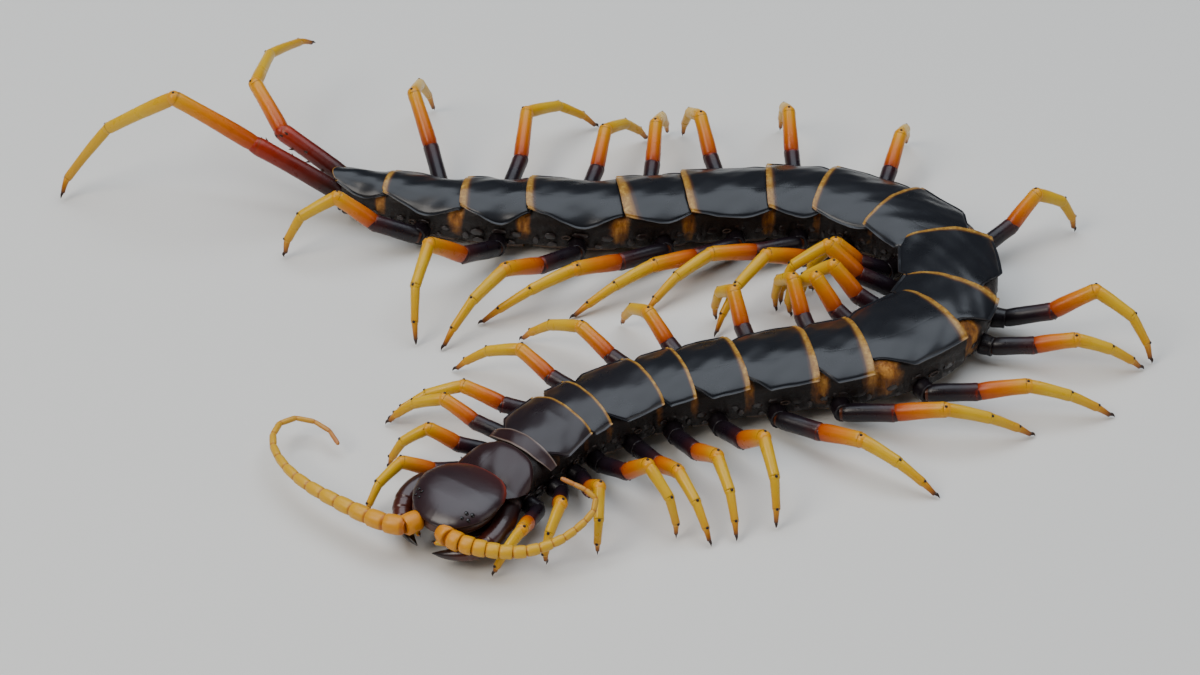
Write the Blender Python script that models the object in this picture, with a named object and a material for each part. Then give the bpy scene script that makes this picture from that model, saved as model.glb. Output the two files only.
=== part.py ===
# Giant centipede, life size, at rest in a wide U. Metres, +Z up, feet on z = 0.
# The body line starts at the back of the head and runs to the tail. Left and right
# are the animal's own: its left side is the outer side of the U.
import math

import bmesh
import bpy
from mathutils import Vector

MM = 0.001
GAP = 0.3 * MM

# Body line: each segment's length (mm), the direction in which it runs towards the
# tail (degrees from +X) and the half width of its back plate (mm), for segments 1 to 21.
SEGMENTS = (
    (6.4, 50, 5.1), (1.8, 50, 5.1), (5.6, 50, 5.1), (3.8, 36, 5.1), (8.2, 33, 5.2), (5.0, 18, 5.2),
    (7.2, 17, 5.4), (9.2, 11, 5.6), (6.8, 11, 5.9), (12.2, 33, 6.3), (6.2, 64, 6.5), (10.8, 87, 6.4),
    (9.8, 134, 6.1), (9.8, 154, 5.9), (7.6, 180, 5.7), (11.2, 187, 5.5), (8.8, 191, 5.3),
    (12.4, 175, 5.1), (8.8, 176, 4.8), (10.8, 160, 4.0), (7.2, 163, 3.0))
SEGMENTS_PER_NODE = 3
BODY_START = (-13.65, -35.15)
BODY_STEP = 0.1
BELLY_Z = 1.2
CREST_Z = 8.8
TAIL_DROP = 1.6
HEAD_CREST_Z = 7.4

# Walking legs 1 to 20: sweep of the foot (degrees, + towards the tail), reach from hip to
# foot (mm), curl seen from above (degrees, + towards the tail), length (mm).
LEFT_LEGS = (
    (-80, 10.5, -60, 14), (-60, 10.5, -60, 17), (-40, 11.5, -40, 18), (3, 14, 0, 21),
    (-4, 17.5, 0, 20.5), (4, 18, -20, 22), (4, 17, -30, 23.5), (46, 22.5, 10, 24),
    (75, 24, 30, 26), (54, 23.5, 10, 25), (22, 19.5, 20, 21.5), (-5, 19.5, -40, 25.5),
    (1, 15.5, -30, 21.5), (10, 18, 10, 22), (5, 18, 0, 24), (10, 18, 0, 24),
    (-20, 20, -10, 24.5), (-22, 21, -40, 25), (-27, 25, -70, 30.5), (25, 25, -50, 33))
RIGHT_LEGS = (
    (-68, 13.5, -50, 17), (-42, 12.5, -20, 16.5), (-21, 16.5, -30, 19), (-48, 20, -40, 22),
    (-31, 19, -40, 21.5), (-37, 19.5, -20, 22), (-18, 15, 10, 19), (-12, 12, -20, 19),
    (-12, 12, -10, 20), (-20, 11.5, 0, 20), (-5, 12, 0, 20.5), (-4, 15.5, -30, 24),
    (34, 10, -20, 18), (21, 23.5, -30, 27), (57, 25, -30, 26.5), (66, 26, 5, 27),
    (73, 28, 25, 30), (40, 25, 0, 28), (25, 20.5, -60, 28.5), (66, 18, -20, 25))
HIP_AT = 0.45
# The legs on the outside of the tightest bend sit further forward on their segments.
OUTER_BEND = (12, 13)
OUTER_HIP_AT = 0.12
HIP_Z = 2.5
HIP_OUT = 0.87
HIP_STUB = 1.1
HIP_TURN = 4.0
FOOT_Z = 0.0
FOOT_STEEPEN = 0.35
LEG_SHARES = (0.25, 0.25, 0.22, 0.16, 0.12)
LEG_BENDS = (0.24, 0.1, 0.62, 0.86, 1.0)
LEG_RADII = ((1.35, 1.3), (1.35, 1.1), (1.05, 0.84), (0.8, 0.6), (0.56, 0.32))
LEG_SIDES = 6
HIP_RADIUS = 1.2
# The foremost legs are a little thinner; full size from this leg back.
FRONT_LEG_SIZE = 0.82
FULL_SIZE_FROM = 8
# Each length of a limb narrows at its joint and is full between these shares of its length.
JOINT_WAIST = 0.86
SWELL_FROM = 0.22
SWELL_TO = 0.88
TIP_SHARE = 0.25

# Last legs, held clear of the ground: joints as points on the floor plan with a height (mm).
# The first joint of each is worked out from the end of the trunk.
LAST_LEG_RIGHT = ((-46.5, 27.9, 11.2), (-57.0, 28.4, 18.5), (-67.0, 31.5, 11.5),
                  (-73.5, 31.9, 3.0), (-74.5, 30.5, 0.5))
LAST_LEG_LEFT = ((-43.5, 33.5, 9.6), (-47.5, 39.5, 13.5), (-46.5, 49.5, 12.0),
                 (-43.0, 56.5, 9.6), (-41.0, 58.8, 8.0))
LAST_LEG_RADII = ((1.25, 1.3), (1.3, 1.1), (1.1, 0.85), (0.85, 0.6), (0.55, 0.25))
LAST_LEG_APART = 1.6
LAST_LEG_Z = 4.3
LAST_LEG_SIDES = 8
LAST_TIP_SIZE = 0.7

# Antennae: route points of the centre line (mm), after the root on the front of the head.
ANTENNA_RIGHT = ((-22.5, -42.6, 4.9), (-27.2, -40.3, 4.6), (-36.0, -33.0, 4.0), (-40.0, -25.8, 3.5),
                 (-39.2, -20.8, 3.2), (-35.9, -20.2, 2.8), (-32.7, -22.4, 2.2), (-32.3, -23.7, 2.0))
ANTENNA_LEFT = ((-18.1, -45.7, 4.9), (-14.9, -47.1, 4.7), (-9.3, -46.9, 4.6), (-4.7, -45.2, 5.3),
                (-1.5, -43.2, 6.8), (-0.4, -41.6, 7.9), (-1.3, -40.6, 8.8), (-4.4, -39.0, 9.4))
ANTENNA_APART = 1.7
ANTENNA_Z = 5.0
ANTENNA_RADII = (1.35, 0.28)
ANTENNA_TAPER = 1.6
ANTENNA_ARTICLES = 17
ANTENNA_SIDES = 7
ARTICLE_NECK = 0.84
ARTICLE_FULL_AT = 0.75
ANTENNA_TIP_SIZE = 0.6

# Middle of the animal's box on the floor plan (mm), set at the origin.
FLOOR_MIDDLE = (-1.77, 5.45)

# Head plate: distance in front of the back rim (mm), half width, top and underside.
HEAD_RINGS = (
    (0.3, 4.7, 7.6, 3.7), (1.6, 5.3, 7.7, 3.6), (3.8, 5.6, 7.6, 3.5), (6.0, 5.3, 7.3, 3.5),
    (7.8, 4.6, 6.9, 3.5), (9.0, 3.7, 6.5, 3.6), (9.6, 2.7, 6.2, 3.8))
HEAD_HEADING = 54
HEAD_ASIDE = -1.0
# Plate under the head that carries the two venom claws.
JAW_RINGS = (
    (0.5, 4.2, 3.2, 1.6), (2.2, 4.8, 3.2, 1.4), (4.6, 4.4, 3.2, 1.4), (5.8, 3.6, 3.1, 1.5),
    (6.6, 2.0, 3.0, 1.8))

COLOURS = {
    "head": (0.035, 0.012, 0.014), "trunk": (0.010, 0.012, 0.018), "eye": (0.02, 0.02, 0.02),
    "antenna": (0.70, 0.33, 0.06), "claw": (0.045, 0.018, 0.016), "leg": (0.75, 0.33, 0.05),
    "last_leg": (0.42, 0.07, 0.02)}

for old in list(bpy.data.objects):
    bpy.data.objects.remove(old)


def shell_material(kind):
    """Glossy cuticle in the colour of that kind of piece."""
    name = "cuticle_" + kind
    material = bpy.data.materials.get(name)
    if material is None:
        material = bpy.data.materials.new(name)
        material.use_nodes = True
        shader = material.node_tree.nodes["Principled BSDF"]
        shader.inputs["Base Color"].default_value = (*COLOURS[kind], 1.0)
        shader.inputs["Roughness"].default_value = 0.25
        shader.inputs["Metallic"].default_value = 0.0
    return material


def loft(name, rings, kind):
    """One closed body through rings of equal point count, with flat end caps."""
    mesh = bpy.data.meshes.new(name)
    work = bmesh.new()
    middle = Vector((*FLOOR_MIDDLE, 0.0))
    rows = [[work.verts.new((point - middle) * MM) for point in ring] for ring in rings]
    count = len(rows[0])
    for row, following in zip(rows, rows[1:]):
        for k in range(count):
            after = (k + 1) % count
            work.faces.new((row[k], row[after], following[after], following[k]))
    for row in (rows[0], rows[-1]):
        work.faces.new(row)
    bmesh.ops.triangulate(work, faces=work.faces[:])
    bmesh.ops.recalc_face_normals(work, faces=work.faces[:])
    work.to_mesh(mesh)
    work.free()
    piece = bpy.data.objects.new(name, mesh)
    piece.data.materials.append(shell_material(kind))
    bpy.context.scene.collection.objects.link(piece)
    mesh.shade_smooth()
    mesh.set_sharp_from_angle(angle=math.radians(40))
    return piece


def between(values, places, place):
    """Straight-line reading of values given at rising places."""
    if place <= places[0]:
        return values[0]
    for k in range(1, len(places)):
        if place <= places[k]:
            share = (place - places[k - 1]) / (places[k] - places[k - 1])
            return values[k - 1] + (values[k] - values[k - 1]) * share
    return values[-1]


# Body line
STARTS = [sum(row[0] for row in SEGMENTS[:k]) for k in range(len(SEGMENTS) + 1)]
MIDDLES = [(a + b) / 2 for a, b in zip(STARTS, STARTS[1:])]


def heading(along):
    """Direction towards the tail, in radians, at a distance along the body line."""
    return math.radians(between([row[1] for row in SEGMENTS], MIDDLES, along))


LINE = [Vector((*BODY_START, 0.0))]
for step in range(int(STARTS[-1] / BODY_STEP) + 1):
    turn = heading((step + 0.5) * BODY_STEP)
    LINE.append(LINE[-1] + BODY_STEP * Vector((math.cos(turn), math.sin(turn), 0.0)))


def body_point(along):
    place = min(max(along / BODY_STEP, 0.0), len(LINE) - 1.001)
    index = int(place)
    return LINE[index].lerp(LINE[index + 1], place - index)


def tailward(along):
    return Vector((math.cos(heading(along)), math.sin(heading(along)), 0.0))


def leftward(along):
    return Vector((math.sin(heading(along)), -math.cos(heading(along)), 0.0))


# Cross-section of the trunk on its right half, from the ridge of the back round to the
# middle of the belly: share of the half width, share of the height.
TRUNK_SECTION = ((0.0, 1.0), (0.38, 0.97), (0.70, 0.90), (0.90, 0.82), (1.0, 0.74), (0.92, 0.66),
                 (0.86, 0.08), (0.66, 0.0), (0.0, 0.0))
# Rings along one segment: share of its length, width and height of the back plate there.
PLATE_RINGS = ((0.0, 0.92, 0.93), (0.08, 0.98, 0.97), (0.30, 1.05, 1.0), (0.65, 1.03, 1.0),
               (0.94, 0.96, 0.99), (0.99, 0.90, 0.94))
FLANK_SHARE = 0.6


def height_at(along):
    """Height of the back above the floor: lower at the neck and towards the tail."""
    return between((HEAD_CREST_Z, CREST_Z, CREST_Z, CREST_Z - TAIL_DROP),
                   (0.0, 12.0, STARTS[18], STARTS[21]), along)


def plate_width(along):
    return between([row[2] for row in SEGMENTS], MIDDLES, along)


def trunk_ring(along, wide, high):
    centre = body_point(along)
    side = leftward(along)
    half = plate_width(along)
    top = height_at(along) - BELLY_Z
    ring = []
    for sign, section in ((-1, TRUNK_SECTION), (1, TRUNK_SECTION[-2:0:-1])):
        for across, up in section:
            on_back = max(0.0, (up - FLANK_SHARE) / (1 - FLANK_SHARE))
            spread = half * across * (wide if up >= FLANK_SHARE else 1.0)
            lift = top * up * (1 + (high - 1) * on_back)
            ring.append(centre + side * sign * spread + Vector((0, 0, BELLY_Z + lift)))
    return ring


def trunk_node(first):
    """Three segments of the trunk in one body, its back stepped plate by plate."""
    last = first + SEGMENTS_PER_NODE - 1
    rings = []
    for segment in range(first, last + 1):
        start = STARTS[segment - 1]
        length = SEGMENTS[segment - 1][0]
        for share, wide, high in PLATE_RINGS:
            along = start + length * share
            if segment == first and share == 0.0:
                along = start + GAP / MM
            rings.append(trunk_ring(along, wide, high))
    name = "segments_%d_to_%d" % (first, last)
    loft(name, rings, "trunk")


for first_segment in range(1, len(SEGMENTS) + 1, SEGMENTS_PER_NODE):
    trunk_node(first_segment)


# Legs
def leg_chain(first_angle, bend, length):
    """Reach and rise of each joint of a leg that arches in an upright plane."""
    reach = 0.0
    rise = 0.0
    joints = []
    for share, part in zip(LEG_SHARES, LEG_BENDS):
        angle = first_angle - bend * part
        reach += length * share * math.cos(angle)
        rise += length * share * math.sin(angle)
        joints.append((reach, rise, angle))
    return joints


def leg_angles(length, reach, drop):
    """First angle and bend that bring the foot to that reach, that far below the hip."""
    span = min(math.hypot(reach, drop), length * 0.995)
    low = 0.0
    high = 4.2
    for _ in range(40):
        middle = (low + high) / 2
        end = leg_chain(0.0, middle, length)[-1]
        if math.hypot(end[0], end[1]) > span:
            low = middle
        else:
            high = middle
    end = leg_chain(0.0, low, length)[-1]
    return math.atan2(-drop, reach) - math.atan2(end[1], end[0]), low


def hip_point(segment, sign):
    share = OUTER_HIP_AT if segment in OUTER_BEND and sign > 0 else HIP_AT
    along = STARTS[segment - 1] + share * SEGMENTS[segment - 1][0]
    out = leftward(along) * sign
    skin = plate_width(along) * HIP_OUT
    return body_point(along) + out * (skin + GAP / MM) + Vector((0, 0, HIP_Z)), out, tailward(along)


def leg_joints(segment, sign, stance):
    """Joints of one walking leg from the hip to the tip of its claw."""
    sweep, reach, curl, length = stance
    root, out, back = hip_point(segment, sign)
    straight = reach
    for _ in range(4):
        first, bend = leg_angles(length, straight, HIP_Z - FOOT_Z)
        total = Vector((0.0, 0.0))
        for share, part in zip(LEG_SHARES, LEG_BENDS):
            flat = length * share * math.cos(first - bend * part)
            turned = math.radians(curl) * (part - 0.5)
            total += flat * Vector((math.cos(turned), math.sin(turned)))
        straight *= reach / total.length
    base = math.radians(sweep) - math.atan2(total.y, total.x)
    joints = [root + out * HIP_STUB]
    for share, part in zip(LEG_SHARES, LEG_BENDS):
        angle = first - bend * part
        turned = base + math.radians(curl) * (part - 0.5)
        flat = out * math.cos(turned) + back * math.sin(turned)
        joints.append(joints[-1] + length * share * (flat * math.cos(angle)
                                                     + Vector((0, 0, math.sin(angle)))))
    return [root] + joints, out


def circle(centre, axis, radius, sides, upright=Vector((0, 0, 1))):
    """Ring of points round an axis, started from the side that looks up."""
    axis = axis.normalized()
    across = axis.cross(upright)
    if across.length < 0.05:
        across = axis.cross(Vector((0, 1, 0)))
    across.normalize()
    up = across.cross(axis)
    points = []
    for k in range(sides):
        angle = 2 * math.pi * (k + 0.5) / sides
        points.append(centre + radius * (across * math.cos(angle) + up * math.sin(angle)))
    return points


def limb_rings(joints, radii, sides):
    """Rings of a jointed limb: each length swells a little and narrows at its joints."""
    rings = []
    for k, (start, end) in enumerate(zip(joints, joints[1:])):
        axis = end - start
        before = (joints[k] - joints[k - 1]) if k else axis
        first, last = radii[k]
        bisector = axis.normalized() + before.normalized()
        rings.append(circle(start, bisector, first * (JOINT_WAIST if k else 1.0), sides))
        rings.append(circle(start.lerp(end, SWELL_FROM), axis, first, sides))
        rings.append(circle(start.lerp(end, SWELL_TO), axis, last, sides))
    return rings


def flat_foot(ring, axis):
    """Last ring of a leg slid along the claw onto the floor, where it makes a small flat."""
    down = (axis.normalized() + Vector((0, 0, -FOOT_STEEPEN))).normalized()
    return [point + down * ((FOOT_Z - point.z) / down.z) for point in ring]


def walking_leg(name, segment, sign, stance):
    joints, out = leg_joints(segment, sign, stance)
    size = FRONT_LEG_SIZE + (1 - FRONT_LEG_SIZE) * min(1.0, segment / FULL_SIZE_FROM)
    radii = [(a * size, b * size) for a, b in LEG_RADII]
    rings = [circle(joints[0], out, HIP_RADIUS * size, LEG_SIDES)]
    rings += limb_rings(joints[1:], radii, LEG_SIDES)
    claw = joints[-1] - joints[-2]
    tip = circle(joints[-1] - claw * TIP_SHARE, claw, radii[-1][1], LEG_SIDES)
    rings[1] = circle(joints[1], joints[2] - joints[1] + out * HIP_TURN, radii[0][0], LEG_SIDES)
    rings[-1] = tip
    rings.append(flat_foot(tip, claw))
    loft(name, rings, "leg")


for number, (left_stance, right_stance) in enumerate(zip(LEFT_LEGS, RIGHT_LEGS), start=1):
    walking_leg("leg_left_%d" % number, number, 1, left_stance)
    walking_leg("leg_right_%d" % number, number, -1, right_stance)


def last_leg(name, sign, points):
    end = STARTS[-1]
    root = body_point(end) + tailward(end) * (GAP / MM) + leftward(end) * sign * LAST_LEG_APART
    joints = [root + Vector((0, 0, LAST_LEG_Z))] + [Vector(point) for point in points]
    rings = limb_rings(joints, LAST_LEG_RADII, LAST_LEG_SIDES)
    tip_radius = LAST_LEG_RADII[-1][1] * LAST_TIP_SIZE
    rings.append(circle(joints[-1], joints[-1] - joints[-2], tip_radius, LAST_LEG_SIDES))
    rings[0] = circle(joints[0], tailward(end), LAST_LEG_RADII[0][0], LAST_LEG_SIDES)
    loft(name, rings, "last_leg")


last_leg("last_leg_left", 1, LAST_LEG_LEFT)
last_leg("last_leg_right", -1, LAST_LEG_RIGHT)


# Head
HEAD_AHEAD = Vector((-math.cos(math.radians(HEAD_HEADING)), -math.sin(math.radians(HEAD_HEADING)), 0))
HEAD_LEFT = Vector((-HEAD_AHEAD.y, HEAD_AHEAD.x, 0))
HEAD_BACK = Vector((*BODY_START, 0.0)) + HEAD_LEFT * HEAD_ASIDE
HEAD_SECTION = ((0.0, 1.0), (0.40, 0.97), (0.72, 0.86), (0.92, 0.66), (1.0, 0.42), (0.90, 0.16),
                (0.66, 0.0), (0.0, 0.0))


def head_point(ahead, left, up):
    return HEAD_BACK + HEAD_AHEAD * ahead + HEAD_LEFT * left + Vector((0, 0, up))


def head_ring(ahead, half, top, bottom):
    ring = []
    for sign, section in ((-1, HEAD_SECTION), (1, HEAD_SECTION[-2:0:-1])):
        for across, up in section:
            ring.append(head_point(ahead, sign * half * across, bottom + (top - bottom) * up))
    return ring


loft("head", [head_ring(*row) for row in HEAD_RINGS], "head")
loft("venom_claw_base", [head_ring(*row) for row in JAW_RINGS], "claw")


def smooth_route(points, count):
    """Evenly counted points on a smooth curve through the route's own points."""
    spans = len(points) - 1
    route = []
    for k in range(count + 1):
        place = k * spans / count
        index = min(int(place), spans - 1)
        t = place - index
        p1 = points[index]
        p2 = points[index + 1]
        p0 = points[index - 1] if index else p1 * 2 - p2
        p3 = points[index + 2] if index + 2 <= spans else p2 * 2 - p1
        route.append(0.5 * ((2 * p1) + (p2 - p0) * t + (2 * p0 - 5 * p1 + 4 * p2 - p3) * t ** 2
                            + (3 * p1 - p0 - 3 * p2 + p3) * t ** 3))
    return route


def antenna(name, sign, points):
    """Feeler of short articles, each a little wider at its far end."""
    front = HEAD_RINGS[-1][0] + GAP / MM
    root = head_point(front, sign * ANTENNA_APART, ANTENNA_Z)
    route = smooth_route([root] + [Vector(point) for point in points], ANTENNA_ARTICLES)
    thick, thin = ANTENNA_RADII
    rings = []
    for k, (start, end) in enumerate(zip(route, route[1:])):
        axis = end - start
        radius = thin + (thick - thin) * (1 - k / ANTENNA_ARTICLES) ** ANTENNA_TAPER
        before = (start - route[k - 1]) if k else axis
        rings.append(circle(start, axis.normalized() + before.normalized(), radius * ARTICLE_NECK,
                            ANTENNA_SIDES))
        rings.append(circle(start.lerp(end, ARTICLE_FULL_AT), axis, radius, ANTENNA_SIDES))
    rings[0] = circle(root, HEAD_AHEAD, thick, ANTENNA_SIDES)
    rings.append(circle(route[-1], axis, thin * ANTENNA_TIP_SIZE, ANTENNA_SIDES))
    loft(name, rings, "antenna")


antenna("antenna_left", 1, ANTENNA_LEFT)
antenna("antenna_right", -1, ANTENNA_RIGHT)


# Venom claws: thick curved hooks that hug the head from below and meet in front.
CLAW_ROUTE = ((2.0, 5.8, 3.1), (4.0, 6.3, 3.0), (6.3, 6.2, 2.7), (8.5, 4.9, 2.4), (9.9, 3.0, 2.2),
              (10.6, 1.1, 2.0))
CLAW_RADII = (1.1, 1.35, 1.25, 0.95, 0.6, 0.28)
CLAW_SIDES = 8
CLAW_RINGS = 10


def venom_claw(name, sign):
    points = [head_point(ahead, sign * left, up) for ahead, left, up in CLAW_ROUTE]
    route = smooth_route(points, CLAW_RINGS)
    rings = []
    for k, centre in enumerate(route):
        axis = route[min(k + 1, CLAW_RINGS)] - route[max(k - 1, 0)]
        radius = between(CLAW_RADII, range(len(CLAW_RADII)), k * (len(CLAW_RADII) - 1) / CLAW_RINGS)
        rings.append(circle(centre, axis, radius, CLAW_SIDES))
    loft(name, rings, "claw")


venom_claw("venom_claw_left", 1)
venom_claw("venom_claw_right", -1)

# Eyes: on each side a low oval pad with four round lenses on it.
EYE_AHEAD = 7.6
EYE_OUT = 4.1
EYE_UP = 6.9
EYE_LONG = 0.85
EYE_BROAD = 0.6
EYE_SIDES = 12
# Rings of the pad: height above its foot (mm), share of its size.
EYE_RINGS = ((0.0, 1.0), (0.25, 0.95), (0.45, 0.6), (0.52, 0.2))
LENS_LOBE = 0.1


def eye_group(name, sign):
    centre = head_point(EYE_AHEAD, sign * EYE_OUT, EYE_UP)
    up = (HEAD_LEFT * sign * 0.75 + Vector((0, 0, 0.8)) + HEAD_AHEAD * 0.35).normalized()
    along = HEAD_AHEAD - up * HEAD_AHEAD.dot(up)
    along.normalize()
    across = up.cross(along)
    rings = []
    for lift, wide in EYE_RINGS:
        ring = []
        for k in range(EYE_SIDES):
            angle = 2 * math.pi * k / EYE_SIDES
            lobe = 1.0 + LENS_LOBE * math.cos(4 * angle)
            ring.append(centre + up * lift + along * EYE_LONG * wide * lobe * math.cos(angle)
                        + across * EYE_BROAD * wide * lobe * math.sin(angle))
        rings.append(ring)
    loft(name, rings, "eye")


eye_group("eyes_left", 1)
eye_group("eyes_right", -1)
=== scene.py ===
import math

import bpy
import numpy as np
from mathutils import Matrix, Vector


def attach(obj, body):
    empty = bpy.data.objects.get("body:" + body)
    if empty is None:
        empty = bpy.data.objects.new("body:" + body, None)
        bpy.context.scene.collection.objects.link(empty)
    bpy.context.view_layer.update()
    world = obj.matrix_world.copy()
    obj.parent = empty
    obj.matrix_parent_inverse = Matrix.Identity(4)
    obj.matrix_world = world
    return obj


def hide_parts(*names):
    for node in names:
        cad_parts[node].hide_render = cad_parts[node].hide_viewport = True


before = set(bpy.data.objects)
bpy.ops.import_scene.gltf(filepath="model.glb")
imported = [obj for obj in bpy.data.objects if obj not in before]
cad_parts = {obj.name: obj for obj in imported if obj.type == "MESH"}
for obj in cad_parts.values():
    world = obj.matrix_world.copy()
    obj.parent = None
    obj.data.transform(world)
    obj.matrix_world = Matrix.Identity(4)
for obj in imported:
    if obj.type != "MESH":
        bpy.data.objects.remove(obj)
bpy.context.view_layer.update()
bpy.ops.object.select_all(action="DESELECT")

# Camera. A long lens looks down on the animal at 38 degrees, from the side where its head
# lies, and stands upright and level with the middle of the floor under it.
MM = 0.001
CAMERA_TILT = math.radians(38)
CAMERA_DISTANCE = 377 * MM
PHOTO_WIDTH = 1200
FOCAL_PIXELS = 2900
SENSOR_WIDTH = 36.0
FLOOR_MIDDLE = (-1.77, 5.45)

camera_data = bpy.data.cameras.new("photo_camera")
camera_data.sensor_width = SENSOR_WIDTH
camera_data.lens = SENSOR_WIDTH * FOCAL_PIXELS / PHOTO_WIDTH
camera_data.clip_start = 0.01
camera = bpy.data.objects.new("photo_camera", camera_data)
camera.location = (-FLOOR_MIDDLE[0] * MM, -CAMERA_DISTANCE * math.cos(CAMERA_TILT) - FLOOR_MIDDLE[1] * MM,
                   CAMERA_DISTANCE * math.sin(CAMERA_TILT))
camera.rotation_euler = (math.pi / 2 - CAMERA_TILT, 0, 0)
bpy.context.scene.collection.objects.link(camera)
bpy.context.scene.camera = camera


# Soft body. A living tube of dark, leathery skin carries every plate; it shows between the
# plates as an ochre membrane where the body bends. It is one closed tube from neck to tail,
# laid along the body line that the solids follow, and stands for the trunk's solids.
SEGMENTS = (
    (6.4, 50, 5.1), (1.8, 50, 5.1), (5.6, 50, 5.1), (3.8, 36, 5.1), (8.2, 33, 5.2), (5.0, 18, 5.2),
    (7.2, 17, 5.4), (9.2, 11, 5.6), (6.8, 11, 5.9), (12.2, 33, 6.3), (6.2, 64, 6.5), (10.8, 87, 6.4),
    (9.8, 134, 6.1), (9.8, 154, 5.9), (7.6, 180, 5.7), (11.2, 187, 5.5), (8.8, 191, 5.3),
    (12.4, 175, 5.1), (8.8, 176, 4.8), (10.8, 160, 4.0), (7.2, 163, 3.0))
BODY_START = (-13.65, -35.15)
LINE_STEP = 0.1
BELLY_Z = 1.2
CREST_Z = 8.8
TAIL_DROP = 1.6
NECK_CREST_Z = 7.4

LENGTHS = np.array([row[0] for row in SEGMENTS])
STARTS = np.concatenate([[0.0], np.cumsum(LENGTHS)])
MIDDLES = (STARTS[:-1] + STARTS[1:]) / 2
line_along = np.arange(0, STARTS[-1] + LINE_STEP, LINE_STEP)
line_turn = np.radians(np.interp(line_along + LINE_STEP / 2, MIDDLES, [row[1] for row in SEGMENTS]))
line_x = BODY_START[0] + LINE_STEP * np.concatenate([[0], np.cumsum(np.cos(line_turn))[:-1]])
line_y = BODY_START[1] + LINE_STEP * np.concatenate([[0], np.cumsum(np.sin(line_turn))[:-1]])


def heading(along):
    """Direction towards the tail at distances along the body line, in radians."""
    return np.radians(np.interp(along, MIDDLES, [row[1] for row in SEGMENTS]))


def half_width(along):
    return np.interp(along, MIDDLES, [row[2] for row in SEGMENTS])


def crest(along):
    return np.interp(along, (0.0, 12.0, STARTS[18], STARTS[21]),
                     (NECK_CREST_Z, CREST_Z, CREST_Z, CREST_Z - TAIL_DROP))


def on_body(along, left, up):
    """Points in the part's frame (mm) from distance along, offset to the left and height."""
    turn = heading(along)
    end_x = np.interp(along, line_along, line_x)
    end_y = np.interp(along, line_along, line_y)
    past = np.minimum(along, 0.0) + np.maximum(along - STARTS[-1], 0.0)
    x = end_x + past * np.cos(turn) + left * np.sin(turn)
    y = end_y + past * np.sin(turn) - left * np.cos(turn)
    return np.stack([x - FLOOR_MIDDLE[0], y - FLOOR_MIDDLE[1], up + 0 * x], axis=1)


def points_of(piece):
    flat = np.empty(len(piece.data.vertices) * 3)
    piece.data.vertices.foreach_get("co", flat)
    return flat.reshape(-1, 3)


def move_points(piece, points_mm):
    """Gives a piece its points, in mm in the part's frame."""
    piece.data.vertices.foreach_set("co", (points_mm * MM).ravel())
    piece.data.update()


def mark(piece, name, values):
    """Keeps one number for each point, or one for them all, which a material reads."""
    layer = piece.data.attributes.new(name, "FLOAT", "POINT")
    filled = np.zeros(len(piece.data.vertices)) + values
    layer.data.foreach_set("value", filled.astype(np.float32))


def take(piece):
    """Makes a piece the only one selected and the active one."""
    bpy.ops.object.select_all(action="DESELECT")
    piece.select_set(True)
    bpy.context.view_layer.objects.active = piece


def clean(piece, merge=0.00001):
    """Merges doubled points and turns all faces outwards."""
    take(piece)
    bpy.ops.object.mode_set(mode="EDIT")
    bpy.ops.mesh.select_all(action="SELECT")
    bpy.ops.mesh.remove_doubles(threshold=merge)
    bpy.ops.mesh.normals_make_consistent(inside=False)
    bpy.ops.object.mode_set(mode="OBJECT")
    bpy.ops.object.shade_smooth()


def finish_with(piece, kind, **settings):
    """Adds one modifier with its settings and applies it."""
    take(piece)
    modifier = piece.modifiers.new(kind.lower(), kind)
    for key, value in settings.items():
        setattr(modifier, key, value)
    bpy.ops.object.modifier_apply(modifier=modifier.name)


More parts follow.
